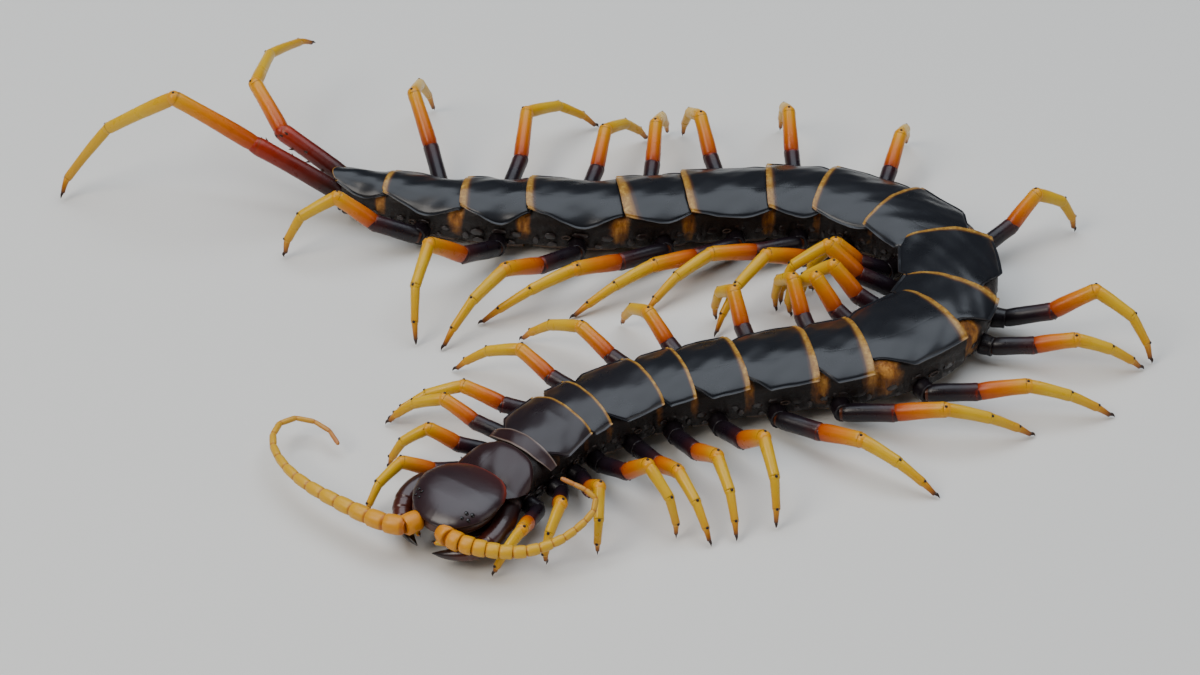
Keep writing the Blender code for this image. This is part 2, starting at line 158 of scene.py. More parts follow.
class Finish:
    """A material's nodes, with a short way to add and join them."""

    def __init__(self, name, roughness, coat=0.0, coat_roughness=0.1, specular=0.5):
        self.material = bpy.data.materials.new(name)
        self.material.use_nodes = True
        self.nodes = self.material.node_tree.nodes
        self.links = self.material.node_tree.links
        self.shader = self.nodes["Principled BSDF"]
        self.shader.inputs["Roughness"].default_value = roughness
        self.shader.inputs["Coat Weight"].default_value = coat
        self.shader.inputs["Coat Roughness"].default_value = coat_roughness
        self.shader.inputs["Specular IOR Level"].default_value = specular
        self.place = self.nodes.new("ShaderNodeTexCoord").outputs["Object"]

    def put(self, socket, value):
        if isinstance(value, bpy.types.NodeSocket):
            self.links.new(value, socket)
        elif isinstance(value, tuple) and len(value) == 3 and socket.type == "RGBA":
            socket.default_value = (*value, 1.0)
        else:
            socket.default_value = value

    def read(self, name):
        node = self.nodes.new("ShaderNodeAttribute")
        node.attribute_name = name
        return node.outputs["Fac"]

    def sum(self, kind, first, second=0.0, clamp=False):
        node = self.nodes.new("ShaderNodeMath")
        node.operation = kind
        node.use_clamp = clamp
        self.put(node.inputs[0], first)
        self.put(node.inputs[1], second)
        return node.outputs[0]

    def ramp(self, value, stops):
        node = self.nodes.new("ShaderNodeValToRGB")
        steps = node.color_ramp.elements
        while len(steps) < len(stops):
            steps.new(0.5)
        for step, (position, colour) in zip(steps, stops):
            step.position = position
            step.color = (*colour, 1.0) if isinstance(colour, tuple) else (colour, colour, colour, 1.0)
        self.put(node.inputs["Fac"], value)
        return node.outputs["Color"]

    def mix(self, share, first, second):
        node = self.nodes.new("ShaderNodeMix")
        node.data_type = "RGBA"
        self.put(node.inputs["Factor"], share)
        self.put(node.inputs["A"], first)
        self.put(node.inputs["B"], second)
        return node.outputs["Result"]

    def noise(self, per_mm, detail=3.0, roughness=0.55, stretch=(1, 1, 1)):
        shift = self.nodes.new("ShaderNodeMapping")
        shift.inputs["Scale"].default_value = stretch
        self.links.new(self.place, shift.inputs["Vector"])
        node = self.nodes.new("ShaderNodeTexNoise")
        node.inputs["Scale"].default_value = per_mm / MM
        node.inputs["Detail"].default_value = detail
        node.inputs["Roughness"].default_value = roughness
        self.links.new(shift.outputs[0], node.inputs["Vector"])
        return node.outputs["Fac"]

    def waver(self, noise, size):
        """Noise about zero, which makes a straight edge uneven."""
        return self.sum("MULTIPLY", self.sum("SUBTRACT", noise, 0.5), size)

    def cloudy(self, dark, light, per_mm, detail):
        return self.mix(self.noise(per_mm, detail), dark, light)

    def bump(self, height, depth_mm, strength=1.0):
        node = self.nodes.new("ShaderNodeBump")
        node.inputs["Strength"].default_value = strength
        node.inputs["Distance"].default_value = depth_mm * MM
        self.put(node.inputs["Height"], height)
        self.links.new(node.outputs[0], self.shader.inputs["Normal"])

    def colour(self, value):
        self.put(self.shader.inputs["Base Color"], value)

    def rough(self, value):
        self.put(self.shader.inputs["Roughness"], value)


def dress(piece, finish, slot, *nodes):
    """Gives a piece its finish, rides it on the root and hides the parts it stands for. The slot is not
    used.
    """
    piece.data.materials.clear()
    piece.data.materials.append(finish.material)
    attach(piece, "root")
    if nodes:
        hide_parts(*nodes)


# Half cross-section of the tube from the ridge to the belly: share of width, of height.
SOFT_SECTION = np.array(((0.0, 0.945), (0.36, 0.915), (0.68, 0.82), (0.84, 0.71), (0.88, 0.62),
                         (0.88, 0.50), (0.87, 0.34), (0.84, 0.14), (0.64, 0.03), (0.0, 0.03)))
# Ochre skin that shows behind plates 1 to 20: how strong, and how far it reaches (mm).
OCHRE = ((0.0, 0.3), (0.3, 0.4), (0.5, 0.4), (0.5, 0.4), (0.6, 0.45), (0.6, 0.45), (0.8, 0.6), (1.0, 0.9),
         (1.0, 1.7), (1.0, 0.9), (0.8, 0.6), (0.5, 0.5), (0.4, 0.5), (0.7, 0.6), (1.0, 0.8), (1.0, 0.8),
         (1.0, 1.0), (1.0, 0.8), (1.0, 0.8), (0.8, 0.7))
OCHRE_BEHIND = 0.5
# The body is slimmer under the collars of the neck and near the tail.
SLIM = ((0.0, 7.5, 9.5, 127.0, 136.0), (0.90, 0.95, 1.0, 1.0, 0.94))
# The skin draws in at each joint (share of width, reach in mm), folds and wrinkles on the
# flanks (depth in mm), and closes roundly at both ends (mm).
WAIST = (0.05, 0.7)
FOLD_DEPTH = 0.15
WRINKLE_DEPTH = 0.10
END_ROUND = 0.9
SOFT_AROUND = 56
SOFT_ALONG = 540

bpy.ops.mesh.primitive_grid_add(x_subdivisions=SOFT_AROUND, y_subdivisions=SOFT_ALONG, size=2)
soft_body = bpy.context.object
soft_body.name = "soft_body"
grid = points_of(soft_body)
around = (grid[:, 0] + 1) / 2
along = (grid[:, 1] + 1) / 2 * (STARTS[-1] - 0.2) + 0.1
fold = np.abs(2 * around - 1)
section_place = (1 - fold) * (len(SOFT_SECTION) - 1)
share_wide = np.interp(section_place, range(len(SOFT_SECTION)), SOFT_SECTION[:, 0])
share_high = np.interp(section_place, range(len(SOFT_SECTION)), SOFT_SECTION[:, 1])
side = np.sign(2 * around - 1)
near_joint = np.min(np.abs(along[:, None] - STARTS[None, :]), axis=1)
slim = np.interp(along, *SLIM)
waist = slim * (1 - WAIST[0] * np.exp(-(near_joint / WAIST[1]) ** 2))
flank = np.exp(-((share_high - 0.3) / 0.2) ** 2)
crease = FOLD_DEPTH * np.sin(along * 5.2 + 2.5 * np.sin(along * 1.3) + share_high * 9)
crease += WRINKLE_DEPTH * np.sin(share_high * 34 + 1.8 * np.sin(along * 0.9))
end_close = np.clip(np.minimum(along, STARTS[-1] - along) / END_ROUND, 0.0, 1.0) ** 0.5
left = side * (half_width(along) * share_wide * waist + crease * flank) * end_close
mid_z = (crest(along) + BELLY_Z) / 2
lowered = 0.02 * np.exp(-(near_joint / 0.6) ** 2) + 0.4 * (1 - slim)
up = BELLY_Z + (crest(along) - BELLY_Z) * share_high * (1 - lowered)
up = mid_z + (up - mid_z) * end_close
ochre_share = 0 * along
for joint_at, (strength, spread) in zip(STARTS[1:-1], OCHRE):
    reach = np.exp(-((along - joint_at - OCHRE_BEHIND * spread) / spread) ** 2)
    ochre_share = np.maximum(ochre_share, strength * np.minimum(1, 1.5 * reach))
ochre_share *= np.clip((share_high - 0.10) / 0.5, 0, 1)
move_points(soft_body, on_body(along, left, up))
mark(soft_body, "ochre", ochre_share)
clean(soft_body)

skin = Finish("leathery_skin", 0.45, specular=0.35)
streak = skin.noise(1.1, 4, 0.6, (1, 1, 0.35))
dark_skin = skin.cloudy((0.004, 0.0035, 0.004), (0.016, 0.009, 0.007), 1.6, 4)
ochre_skin = skin.ramp(streak, ((0.30, (0.060, 0.018, 0.004)), (0.50, (0.30, 0.105, 0.010)),
                                (0.70, (0.60, 0.28, 0.050))))
patchy = skin.sum("ADD", skin.read("ochre"), skin.waver(skin.noise(0.5, 4, 0.65), 0.9))
skin.colour(skin.mix(skin.ramp(patchy, ((0.20, 0.0), (0.85, 1.0))), dark_skin, ochre_skin))
skin.bump(skin.noise(2.0, 6, 0.7), 0.16, 0.9)
dress(soft_body, skin, "back_shell", *("segments_%d_to_%d" % (n, n + 2) for n in range(1, 22, 3)))


# Back plates. Twenty-one hard, glossy shields of black cuticle overlap like roof slates from
# the neck to the tail, each with a rolled rim at its sides and a thin ochre band at the rear.
# On the two collars that band is a painted grey highlight, and from the seventh plate on a
# faint painted highlight runs along the side margins.
# They are moulded once as a curved sheet and fitted one by one onto the body.
PLATE_ACROSS = 44
PLATE_ALONG = 30
PLATE_THICK = 0.24
EDGE_ROUND = 0.05
PLATE_STIFF = 0.8
TUCK_UNDER = 1.0
LAP_OVER = 0.3
# Half angle of each plate's arch (degrees) and height of its side margin as a share of the
# trunk's height: the first plates wrap the neck like collars, the rest are flat shields.
ARCHES = {1: (58, 0.72), 2: (60, 0.64), 3: (47, 0.745)}
FLAT_ARCH = (42, 0.76)
# Outlines: share along the plate, share of the half width.
COLLAR_OUTLINE = ((-0.4, 1.06), (0.0, 1.04), (0.4, 0.98), (0.75, 0.93), (1.0, 0.88))
NECK_OUTLINE = ((-0.3, 0.82), (0.0, 0.86), (0.4, 0.92), (0.75, 0.96), (1.0, 0.96))
FRONT_OUTLINE = ((-0.2, 0.46), (0.0, 0.60), (0.12, 0.76), (0.32, 1.05), (0.70, 1.03), (1.0, 0.985))
REAR_OUTLINE = ((-0.2, 0.70), (0.0, 0.86), (0.12, 0.96), (0.24, 1.02), (0.36, 1.05), (0.52, 1.05),
                (0.70, 1.02), (1.0, 0.88))
TAIL_OUTLINE = ((-0.2, 0.62), (0.0, 0.78), (0.12, 0.91), (0.24, 1.01), (0.36, 1.06), (0.48, 1.06),
                (0.62, 1.01), (0.80, 0.88), (1.0, 0.70))
WIDEST = 1.05
# The first collar is short and the next two plates longer than the trunk's divisions under them.
PLATE_STARTS = STARTS.copy()
PLATE_STARTS[1:3] = (4.9, 7.0)
PLATE_LENGTHS = np.diff(PLATE_STARTS)
# How far a plate reaches under the one ahead and over the one behind (mm), where it isn't usual.
TUCKS = {1: 2.4, 2: -0.5}
LAPS = {21: 0.9}
# How much the corners are cut back at the front and the rear, as share and power. The corners
# of the two collars are rounder, and the last plate narrows to a blunt point.
FRONT_CUT = (0.10, 8)
FRONT_CUTS = {1: (1.05, 3), 2: (0.85, 2)}
REAR_CUTS = {1: ((0.8, 4),), 21: ((0.20, 2), (0.05, 14))}
REAR_CUT = ((0.03, 2), (0.05, 14))
LAST_NARROWS = 0.30
# Heights and depths on a plate's face (mm): the dip of its front edge under the plate ahead,
# slight dents, the lift of the rear edge, the rolled rim and its groove, and the faint hollows.
FRONT_DIP = 0.62
FRONT_DIPS = {2: 0.3}
COLLAR_TURNED_DOWN = 0.4
DENT = 0.07
FINE_DENT = 0.025
REAR_LIFT = 0.16
RIM_RISE = 0.10
GROOVE = 0.08
HOLLOW = 0.06
# How far the margins sag behind the front corners, from the middle of the body and near the tail.
REAR_SAG = 0.05
TAIL_SAG = 0.12
# Width of the band on each plate's rear (mm) at its left and right side, plates 1 to 21: ochre
# from the third plate on, and on the two collars a pale grey painted highlight along the rim.
BANDS = ((0.05, 0.05), (0.20, 0.20), (0.34, 0.30), (0.36, 0.30), (0.42, 0.36), (0.46, 0.38), (0.75, 0.50),
         (1.05, 0.60), (1.15, 0.60), (1.10, 0.40), (1.05, 0.30), (0.90, 0.35), (0.55, 0.45), (0.60, 0.75),
         (0.75, 1.05), (0.80, 1.10), (1.00, 1.70), (0.80, 1.05), (0.85, 1.15), (0.70, 0.80), (0.12, 0.12))
# How plum-coloured the plates behind the head are; the rest are black.
PLUM = {1: 1.0, 2: 1.0, 3: 0.45, 4: 0.2, 5: 0.1}
SHARP_EDGE = 50

bpy.ops.mesh.primitive_grid_add(x_subdivisions=PLATE_ACROSS, y_subdivisions=PLATE_ALONG, size=2)
plate_mould = bpy.context.object
mould = points_of(plate_mould)
# the rows lie closer together towards the sides, where the rim is
mould[:, 0] = np.sign(mould[:, 0]) * (1 - (1 - np.abs(mould[:, 0])) ** 1.5)
plate_mould.data.vertices.foreach_set("co", mould.ravel())


def copy_of(mould_piece, name):
    piece = mould_piece.copy()
    piece.data = mould_piece.data.copy()
    piece.name = name
    bpy.context.scene.collection.objects.link(piece)
    return piece


def on_plate(start, length, ahead, left, up):
    """Points held stiffly in line with one segment rather than along the curving body."""
    ends = on_body(np.array([start, start + length]), 0.0, 0.0)
    chord = ends[1] - ends[0]
    chord_turn = math.atan2(chord[1], chord[0]) % (2 * math.pi)
    reach = ahead / length
    straight = ends[0][None, :] + chord[None, :] * reach[:, None]
    curved = on_body(start + ahead, 0.0, 0.0)
    turn = PLATE_STIFF * chord_turn + (1 - PLATE_STIFF) * heading(start + ahead)
    centre = PLATE_STIFF * straight + (1 - PLATE_STIFF) * curved
    return np.stack([centre[:, 0] + left * np.sin(turn), centre[:, 1] - left * np.cos(turn), up], axis=1)


def outline_of(number):
    if number <= 2:
        return COLLAR_OUTLINE if number == 1 else NECK_OUTLINE
    if number <= 13:
        return FRONT_OUTLINE
    return REAR_OUTLINE if number <= 17 else TAIL_OUTLINE


def crisp(piece, degrees):
    """Smooth shading that keeps the edges sharper than this angle."""
    take(piece)
    bpy.ops.object.shade_smooth_by_angle(angle=math.radians(degrees))


def fit_back_plate(number):
    piece = copy_of(plate_mould, "back_plate_%d" % number)
    across, lengthwise = points_of(piece)[:, 0], points_of(piece)[:, 1]
    start = PLATE_STARTS[number - 1]
    length = PLATE_LENGTHS[number - 1]
    tuck = TUCKS.get(number, TUCK_UNDER)
    lap = LAPS.get(number, LAP_OVER)
    out = np.abs(across)
    rear_corner = sum(depth * out ** power for depth, power in REAR_CUTS.get(number, REAR_CUT))
    depth, power = FRONT_CUTS.get(number, FRONT_CUT)
    pull = 1 - rear_corner * (lengthwise > 0) - depth * out ** power * (lengthwise < 0)
    share = (lengthwise * pull + 1) / 2
    ahead = -tuck + (length + tuck + lap) * share
    place = np.clip(ahead / length, -0.4, 1)
    seen = np.clip(place, 0, 1)
    middle_along = start + np.clip(ahead, 0, length)
    shares, widths = zip(*outline_of(number))
    cut = across * np.interp(place, shares, widths) / WIDEST
    width = half_width(middle_along) * WIDEST
    if number == 21:
        width *= 1 - LAST_NARROWS * seen ** 2
    angle, margin = ARCHES.get(number, FLAT_ARCH)
    wrap = math.radians(angle)
    sag = 0.0 if number < 14 else (TAIL_SAG if 17 < number < 21 else REAR_SAG)
    margin = margin - sag * np.exp(-((place - 0.36) / 0.26) ** 2)
    left = width * np.sin(cut * wrap) / math.sin(wrap)
    low = BELLY_Z + (crest(middle_along) - BELLY_Z) * margin
    arch = (np.cos(cut * wrap) - math.cos(wrap)) / (1 - math.cos(wrap))
    up = low + (crest(middle_along) - low) * arch
    up += DENT * np.sin(left * 1.05 + number * 2.1) * np.cos(ahead * 0.85 + number * 1.3)
    up += FINE_DENT * np.sin(left * 2.4 + ahead * 1.6 + number * 4.7)
    up += REAR_LIFT * seen ** 3
    if number == 1:
        up -= np.exp(-np.maximum(ahead - 0.1, 0) / 1.3) * (1 - 0.9 * cut ** 2)
        up -= COLLAR_TURNED_DOWN * np.maximum(out, lengthwise) ** 8
    else:
        dip = FRONT_DIPS.get(number, FRONT_DIP)
        up -= dip * np.exp(-np.maximum(ahead + tuck, 0) / (0.10 * length + 0.55))
    if number > 2:
        rim = RIM_RISE * np.exp(-((out - 0.985) / 0.018) ** 2)
        rim -= GROOVE * np.exp(-((out - 0.945) / 0.016) ** 2)
        left += np.sign(across) * rim * 0.9
        up += rim * 0.7
    up -= HOLLOW * np.exp(-((out - 0.62) / 0.14) ** 2) * np.sin(math.pi * seen)
    move_points(piece, on_plate(start, length, ahead, left, up))
    edge_gap = (1 - lengthwise) / 2 * (length + tuck + lap)
    if number == 2:
        edge_gap = np.minimum(edge_gap, (1 + lengthwise) / 2 * (length + tuck + lap))
    left_band, right_band = BANDS[number - 1]
    mark(piece, "band", edge_gap / np.interp(across, (-1, 1), (right_band, left_band)))
    # Distance from the side margin, which places the painted rim highlight; the first six plates get none.
    mark(piece, "side_mm", (1 - out) * 6.0 if number > 6 else 6.0)
    mark(piece, "across", across)
    mark(piece, "plum", PLUM.get(number, 0.0))
    # 1 where the rear band is ochre; 0 on the two collars, whose band is a painted grey highlight.
    mark(piece, "gold", 0.0 if number <= 2 else 1.0)
    clean(piece)
    finish_with(piece, "SOLIDIFY", thickness=PLATE_THICK * MM, offset=-1.0)
    finish_with(piece, "BEVEL", width=EDGE_ROUND * MM, segments=2, limit_method="ANGLE",
                angle_limit=math.radians(SHARP_EDGE))
    crisp(piece, SHARP_EDGE)
    dress(piece, cuticle, "back_shell")


cuticle = Finish("black_plate", 0.26, 0.1, 0.15, specular=0.38)
cloud = cuticle.noise(0.22, 4)
speck = cuticle.noise(1.4, 4, 0.7)
deep = cuticle.mix(cloud, (0.0035, 0.004, 0.006), (0.009, 0.010, 0.014))
plum = cuticle.mix(cloud, (0.012, 0.004, 0.005), (0.030, 0.010, 0.012))
body_tone = cuticle.mix(cuticle.read("plum"), deep, plum)
band_edge = cuticle.sum("ADD", cuticle.read("band"), cuticle.waver(speck, 0.4))
quarter = cuticle.sum("MULTIPLY", band_edge, 0.25)
band_share = cuticle.ramp(quarter, ((0.0, 0.55), (0.06, 1.0), (0.17, 0.85), (0.27, 0.0)))
brown_share = cuticle.ramp(quarter, ((0.0, 1.0), (0.25, 0.8), (0.36, 0.0)))
ochre = cuticle.ramp(speck, ((0.30, (0.20, 0.080, 0.010)), (0.52, (0.36, 0.185, 0.028)),
                             (0.72, (0.56, 0.35, 0.085))))
toned = cuticle.mix(brown_share, body_tone, (0.075, 0.026, 0.008))
# The two collars' rear band is a pale grey painted highlight along the rim instead of ochre.
ochre_band_or_painted_rim_highlight = cuticle.mix(cuticle.read("gold"), (0.18, 0.14, 0.12), ochre)
toned = cuticle.mix(band_share, toned, ochre_band_or_painted_rim_highlight)
# Painted highlight: a faint pale line along the side margins stands in for the sheen on the rolled rim.
painted_rim_highlight = cuticle.ramp(cuticle.read("side_mm"), ((0.0, 1.0), (0.06, 0.7), (0.12, 0.0)))
painted_rim_highlight = cuticle.sum("MULTIPLY", painted_rim_highlight, 0.12)
cuticle.colour(cuticle.mix(painted_rim_highlight, toned, (0.28, 0.22, 0.18)))
cuticle.rough(cuticle.ramp(cloud, ((0.3, 0.25), (0.7, 0.35))))
seam_place = cuticle.sum("SUBTRACT", cuticle.sum("ABSOLUTE", cuticle.read("across")), 0.27)
seam = cuticle.ramp(cuticle.sum("ABSOLUTE", seam_place), ((0.0, 0.0), (0.012, 0.6), (0.03, 1.0)))
pits = cuticle.sum("MULTIPLY", cuticle.noise(3.2, 3, 0.6), 0.35)
cuticle.bump(cuticle.sum("ADD", cuticle.sum("MULTIPLY", seam, 0.4), pits), 0.035, 0.5)

for plate_number in range(1, len(SEGMENTS) + 1):
    fit_back_plate(plate_number)
bpy.data.objects.remove(plate_mould)


# Belly plates. One flat, tan-edged dark plate under each segment, cut like a rounded tile with
# two long grooves, and set into the leathery skin between the leg roots.
BELLY_CUTS = 16
BELLY_THICK = 0.35
BELLY_WIDE = 0.66
# How much a plate narrows to the rear, and its gaps to the plates beside it (mm); the last differs.
BELLY_NARROWS = {21: 0.45}
BELLY_GAPS = {21: 1.4}

bpy.ops.mesh.primitive_grid_add(x_subdivisions=BELLY_CUTS, y_subdivisions=BELLY_CUTS, size=2)
belly_mould = bpy.context.object


def fit_belly_plate(number):
    piece = copy_of(belly_mould, "belly_plate_%d" % number)
    across, lengthwise = points_of(piece)[:, 0], points_of(piece)[:, 1]
    length = LENGTHS[number - 1]
    share = (lengthwise * (1 - 0.08 * across ** 4) + 1) / 2
    ahead = 0.2 + (length - BELLY_GAPS.get(number, 0.4)) * share
    narrow = (1 - BELLY_NARROWS.get(number, 0.10) * share) * (1 - 0.06 * lengthwise ** 4)
    left = half_width(STARTS[number - 1] + ahead) * BELLY_WIDE * across * narrow
    up = BELLY_Z - 0.12 + 0.22 * across ** 4 + 0.10 * lengthwise ** 6
    move_points(piece, on_plate(STARTS[number - 1], length, ahead, left, up))
    mark(piece, "across", across)
    mark(piece, "edge", 1 - np.maximum(np.abs(across), np.abs(lengthwise)))
    clean(piece)
    finish_with(piece, "SOLIDIFY", thickness=BELLY_THICK * MM, offset=0.0)
    crisp(piece, SHARP_EDGE)
    dress(piece, belly_finish, "back_shell")


belly_finish = Finish("belly_plate", 0.34, 0.15, 0.2)
belly_tone = belly_finish.cloudy((0.030, 0.015, 0.010), (0.080, 0.040, 0.022), 0.5, 4)
belly_edge = belly_finish.ramp(belly_finish.read("edge"), ((0.0, 1.0), (0.08, 0.5), (0.2, 0.0)))
belly_finish.colour(belly_finish.mix(belly_edge, belly_tone, (0.09, 0.045, 0.022)))
groove_place = belly_finish.sum("SUBTRACT", belly_finish.sum("ABSOLUTE", belly_finish.read("across")), 0.4)
groove = belly_finish.ramp(belly_finish.sum("ABSOLUTE", groove_place), ((0.0, 0.0), (0.05, 1.0)))
belly_finish.bump(groove, 0.08, 0.8)

for plate_number in range(1, len(SEGMENTS) + 1):
    fit_belly_plate(plate_number)
bpy.data.objects.remove(belly_mould)


# Flank scales and breathing holes. Small dark hard scales stud the soft flank round each leg
# root, and a slit-like hole with a horny brown rim opens above the leg on some segments. Each
# kind is shaped once, from a flattened ball or a ring, and pressed onto the flanks.
FLANK_SCALES = (
    # share along the segment, share of the trunk's height, half length, half height (mm)
    (0.16, 0.36, 0.75, 0.50), (0.42, 0.42, 1.05, 0.42), (0.74, 0.37, 0.85, 0.55), (0.24, 0.17, 0.60, 0.45),
    (0.72, 0.18, 0.75, 0.50), (0.90, 0.26, 0.45, 0.60))
# Scales small enough for the short second segment, by their share along it.
SHORT_SEGMENT = 2.5
SHORT_SEGMENT_SCALES = (0.42, 0.24)
SCALE_RISE = 0.20
SCALE_SUNK = -0.05
BREATHING_SEGMENTS = (3, 5, 8, 10, 12, 14, 16, 18, 20)
# Share along the segment, share of the trunk's height, stretch along and up.
BREATHING_PLACE = (0.56, 0.37, 1.25, 0.65)
HOLE_PROUD = 0.12


def new_ball(sides, rings):
    bpy.ops.mesh.primitive_uv_sphere_add(segments=sides, ring_count=rings, radius=1)
    return bpy.context.object


scale_mould = new_ball(12, 6)
bpy.ops.object.mode_set(mode="EDIT")
bpy.ops.mesh.select_all(action="SELECT")
bpy.ops.transform.resize(value=(1, 1, 0.55))
bpy.ops.object.mode_set(mode="OBJECT")


def flank_at(along, up):
    """Distance of the flank's skin from the body's middle at that height (mm)."""
    height = (up - BELLY_Z) / (crest(along) - BELLY_Z)
    wide = np.interp(height, SOFT_SECTION[::-1, 1][1:], SOFT_SECTION[::-1, 0][1:])
    return half_width(along) * wide


def flank_height(along, share):
    return BELLY_Z + (crest(along) - BELLY_Z) * share


def join_all(pieces, name):
    take(pieces[0])
    for piece in pieces:
        piece.select_set(True)
    bpy.ops.object.join()
    joined = bpy.context.object
    joined.name = name
    return joined


def press_on(mould_piece, name, spots, proud, rise):
    """Copies a mould onto both flanks: place along, share of height, half length, half height."""
    pieces = []
    for place, height, long, high in spots:
        for sign in (-1, 1):
            piece = copy_of(mould_piece, name)
            local = points_of(piece)
            along = place + local[:, 0] * long
            up = flank_height(along, height) + local[:, 1] * high
            out = flank_at(along, up) + proud + local[:, 2] * rise
            move_points(piece, on_body(along, sign * out, up))
            pieces.append(piece)
    joined = join_all(pieces, name)
    clean(joined)
    bpy.data.objects.remove(mould_piece)
    return joined


scale_spots = []
for number, length in enumerate(LENGTHS, start=1):
    size = min(1.0, length / 8.0) ** 0.5 * (0.75 if number > 19 else 1.0)
    for share, height, long, high in FLANK_SCALES:
        if length > SHORT_SEGMENT or share in SHORT_SEGMENT_SCALES:
            scale_spots.append((STARTS[number - 1] + share * length, height, long * size, high * size))
flank_scales = press_on(scale_mould, "flank_scales", scale_spots, SCALE_SUNK, SCALE_RISE)
scale_finish = Finish("flank_scale", 0.28, 0.2)
scale_finish.colour(scale_finish.cloudy((0.006, 0.005, 0.006), (0.024, 0.012, 0.010), 0.5, 3))
scale_finish.bump(scale_finish.noise(3.0, 3), 0.03, 0.5)
dress(flank_scales, scale_finish, "back_shell")

bpy.ops.mesh.primitive_torus_add(major_segments=20, minor_segments=8, major_radius=0.42, minor_radius=0.12)
hole_mould = bpy.context.object
hole_share, hole_height, hole_long, hole_high = BREATHING_PLACE
hole_spots = [(STARTS[number - 1] + hole_share * LENGTHS[number - 1], hole_height, hole_long, hole_high)
              for number in BREATHING_SEGMENTS]
breathing_holes = press_on(hole_mould, "breathing_holes", hole_spots, HOLE_PROUD, 1.0)
hole_finish = Finish("breathing_rim", 0.4)
hole_finish.colour(hole_finish.cloudy((0.020, 0.011, 0.008), (0.060, 0.032, 0.020), 1.5, 3))
dress(breathing_holes, hole_finish, "back_shell")


# Walking legs. Forty slim legs of hollow horny lengths, joined by dark soft rings: a socket on
# the flank, then thigh, second thigh, shin and two foot lengths, and a black claw. They arch
# up to the knee and come down to stand on the claw tips, where the solids' legs stand.
LEFT_LEGS = (
    (-80, 10.5, -60, 14), (-60, 10.5, -60, 17), (-40, 11.5, -40, 18), (3, 14, 0, 21),
    (-4, 17.5, 0, 20.5), (4, 18, -20, 22), (4, 17, -30, 23.5), (46, 22.5, 10, 24),
    (75, 24, 30, 26), (54, 23.5, 10, 25), (22, 19.5, 20, 21.5), (-5, 19.5, -40, 25.5),
    (1, 15.5, -30, 21.5), (10, 18, 10, 22), (5, 18, 0, 24), (10, 18, 0, 24),
    (-20, 20, -10, 24.5), (-22, 21, -40, 25), (-27, 25, -70, 30.5), (25, 25, -50, 33))
RIGHT_LEGS = (
    (-68, 13.5, -50, 17), (-42, 12.5, -20, 16.5), (-21, 16.5, -30, 19), (-48, 20, -40, 22),
    (-31, 19, -40, 21.5), (-37, 19.5, -20, 22), (-18, 15, 10, 19), (-12, 12, -20, 19),
    (-12, 12, -10, 20), (-20, 11.5, 0, 20), (-5, 12, 0, 20.5), (-4, 15.5, -30, 24),
    (34, 10, -20, 18), (21, 23.5, -30, 27), (57, 25, -30, 26.5), (66, 26, 5, 27),
    (73, 28, 25, 30), (40, 25, 0, 28), (25, 20.5, -60, 28.5), (66, 18, -20, 25))
HIP_AT = 0.45
# The legs on the outside of the tightest bend sit further forward on their segments.
OUTER_BEND = (12, 13)
OUTER_HIP_AT = 0.12
HIP_Z = 2.5
HIP_STUB = 1.1
HIP_OUT = 0.87
ROOT_GAP = 0.3
LEG_SHARES = (0.25, 0.25, 0.22, 0.16, 0.12)
LEG_BENDS = (0.24, 0.1, 0.62, 0.86, 1.0)
LEG_RADII = ((1.2, 1.15), (1.18, 0.98), (0.92, 0.74), (0.70, 0.54), (0.50, 0.28))
LEG_BOWS = (0.04, 0.10, 0.10, 0.04, 0.04)
# How far a length starts inside the one before it, and how far it passes the joint.
LENGTH_TUCK = 0.35
LENGTH_LAP = 0.05
LENGTH_SIDES = 16
CLAW_LENGTH = 0.9
CLAW_RADIUS = 0.30
CLAW_TIP_Z = 0.10
SPUR_RADIUS = 0.13
KNEE_FIT = 0.97
KNEE_SPOT = 0.2
SOCKET_RADII = (1.45, 1.25)
SOCKET_REACH = (0.75, 0.15)
# The first legs are smaller; from the eighth pair on they have their full thickness.
FIRST_LEG_SIZE = 0.82
LEG_SIZE_GAIN = 0.18
FULL_SIZE_FROM = 8
LIMB_EDGE = 60
# A leg's colours run along it by length: 0 at the hip, 5 at the claw, 6 at the darkest.
LEG_STOPS = 6.0
SOCKET_TONES = (0.12, 0.02)
SPINE_TONE = 5.2
SPUR_TONE = 5.4
CLAW_TONE = 5.5
SPOT_TONE = 5.6

# Profile of one horny length: distance along, radius. It starts as a narrow neck inside the
# length before it and ends in a slightly flared, turned-in mouth.
LENGTH_PROFILE = ((0.0, 0.74), (0.035, 0.78), (0.07, 0.90), (0.14, 0.97), (0.30, 1.0), (0.50, 0.99),
                  (0.70, 0.98), (0.86, 1.0), (0.94, 1.03), (0.975, 1.02), (1.0, 0.95), (0.985, 0.78))


def turned_mould(profile, sides):
    """A closed turned shape raised ring by ring from a filled circle."""
    first_place, first_radius = profile[0]
    bpy.ops.mesh.primitive_circle_add(vertices=sides, radius=first_radius, fill_type="NGON",
                                      location=(0, 0, first_place))
    piece = bpy.context.object
    bpy.ops.object.transform_apply(location=True)
    bpy.ops.object.mode_set(mode="EDIT")
    bpy.ops.mesh.select_all(action="SELECT")
    for (place, radius), (next_place, next_radius) in zip(profile, profile[1:]):
        bpy.ops.mesh.extrude_region_move(TRANSFORM_OT_translate={"value": (0, 0, next_place - place)})
        factor = next_radius / radius
        bpy.ops.transform.resize(value=(factor, factor, 1), center_override=(0, 0, next_place))
    bpy.ops.object.mode_set(mode="OBJECT")
    clean(piece)
    return piece


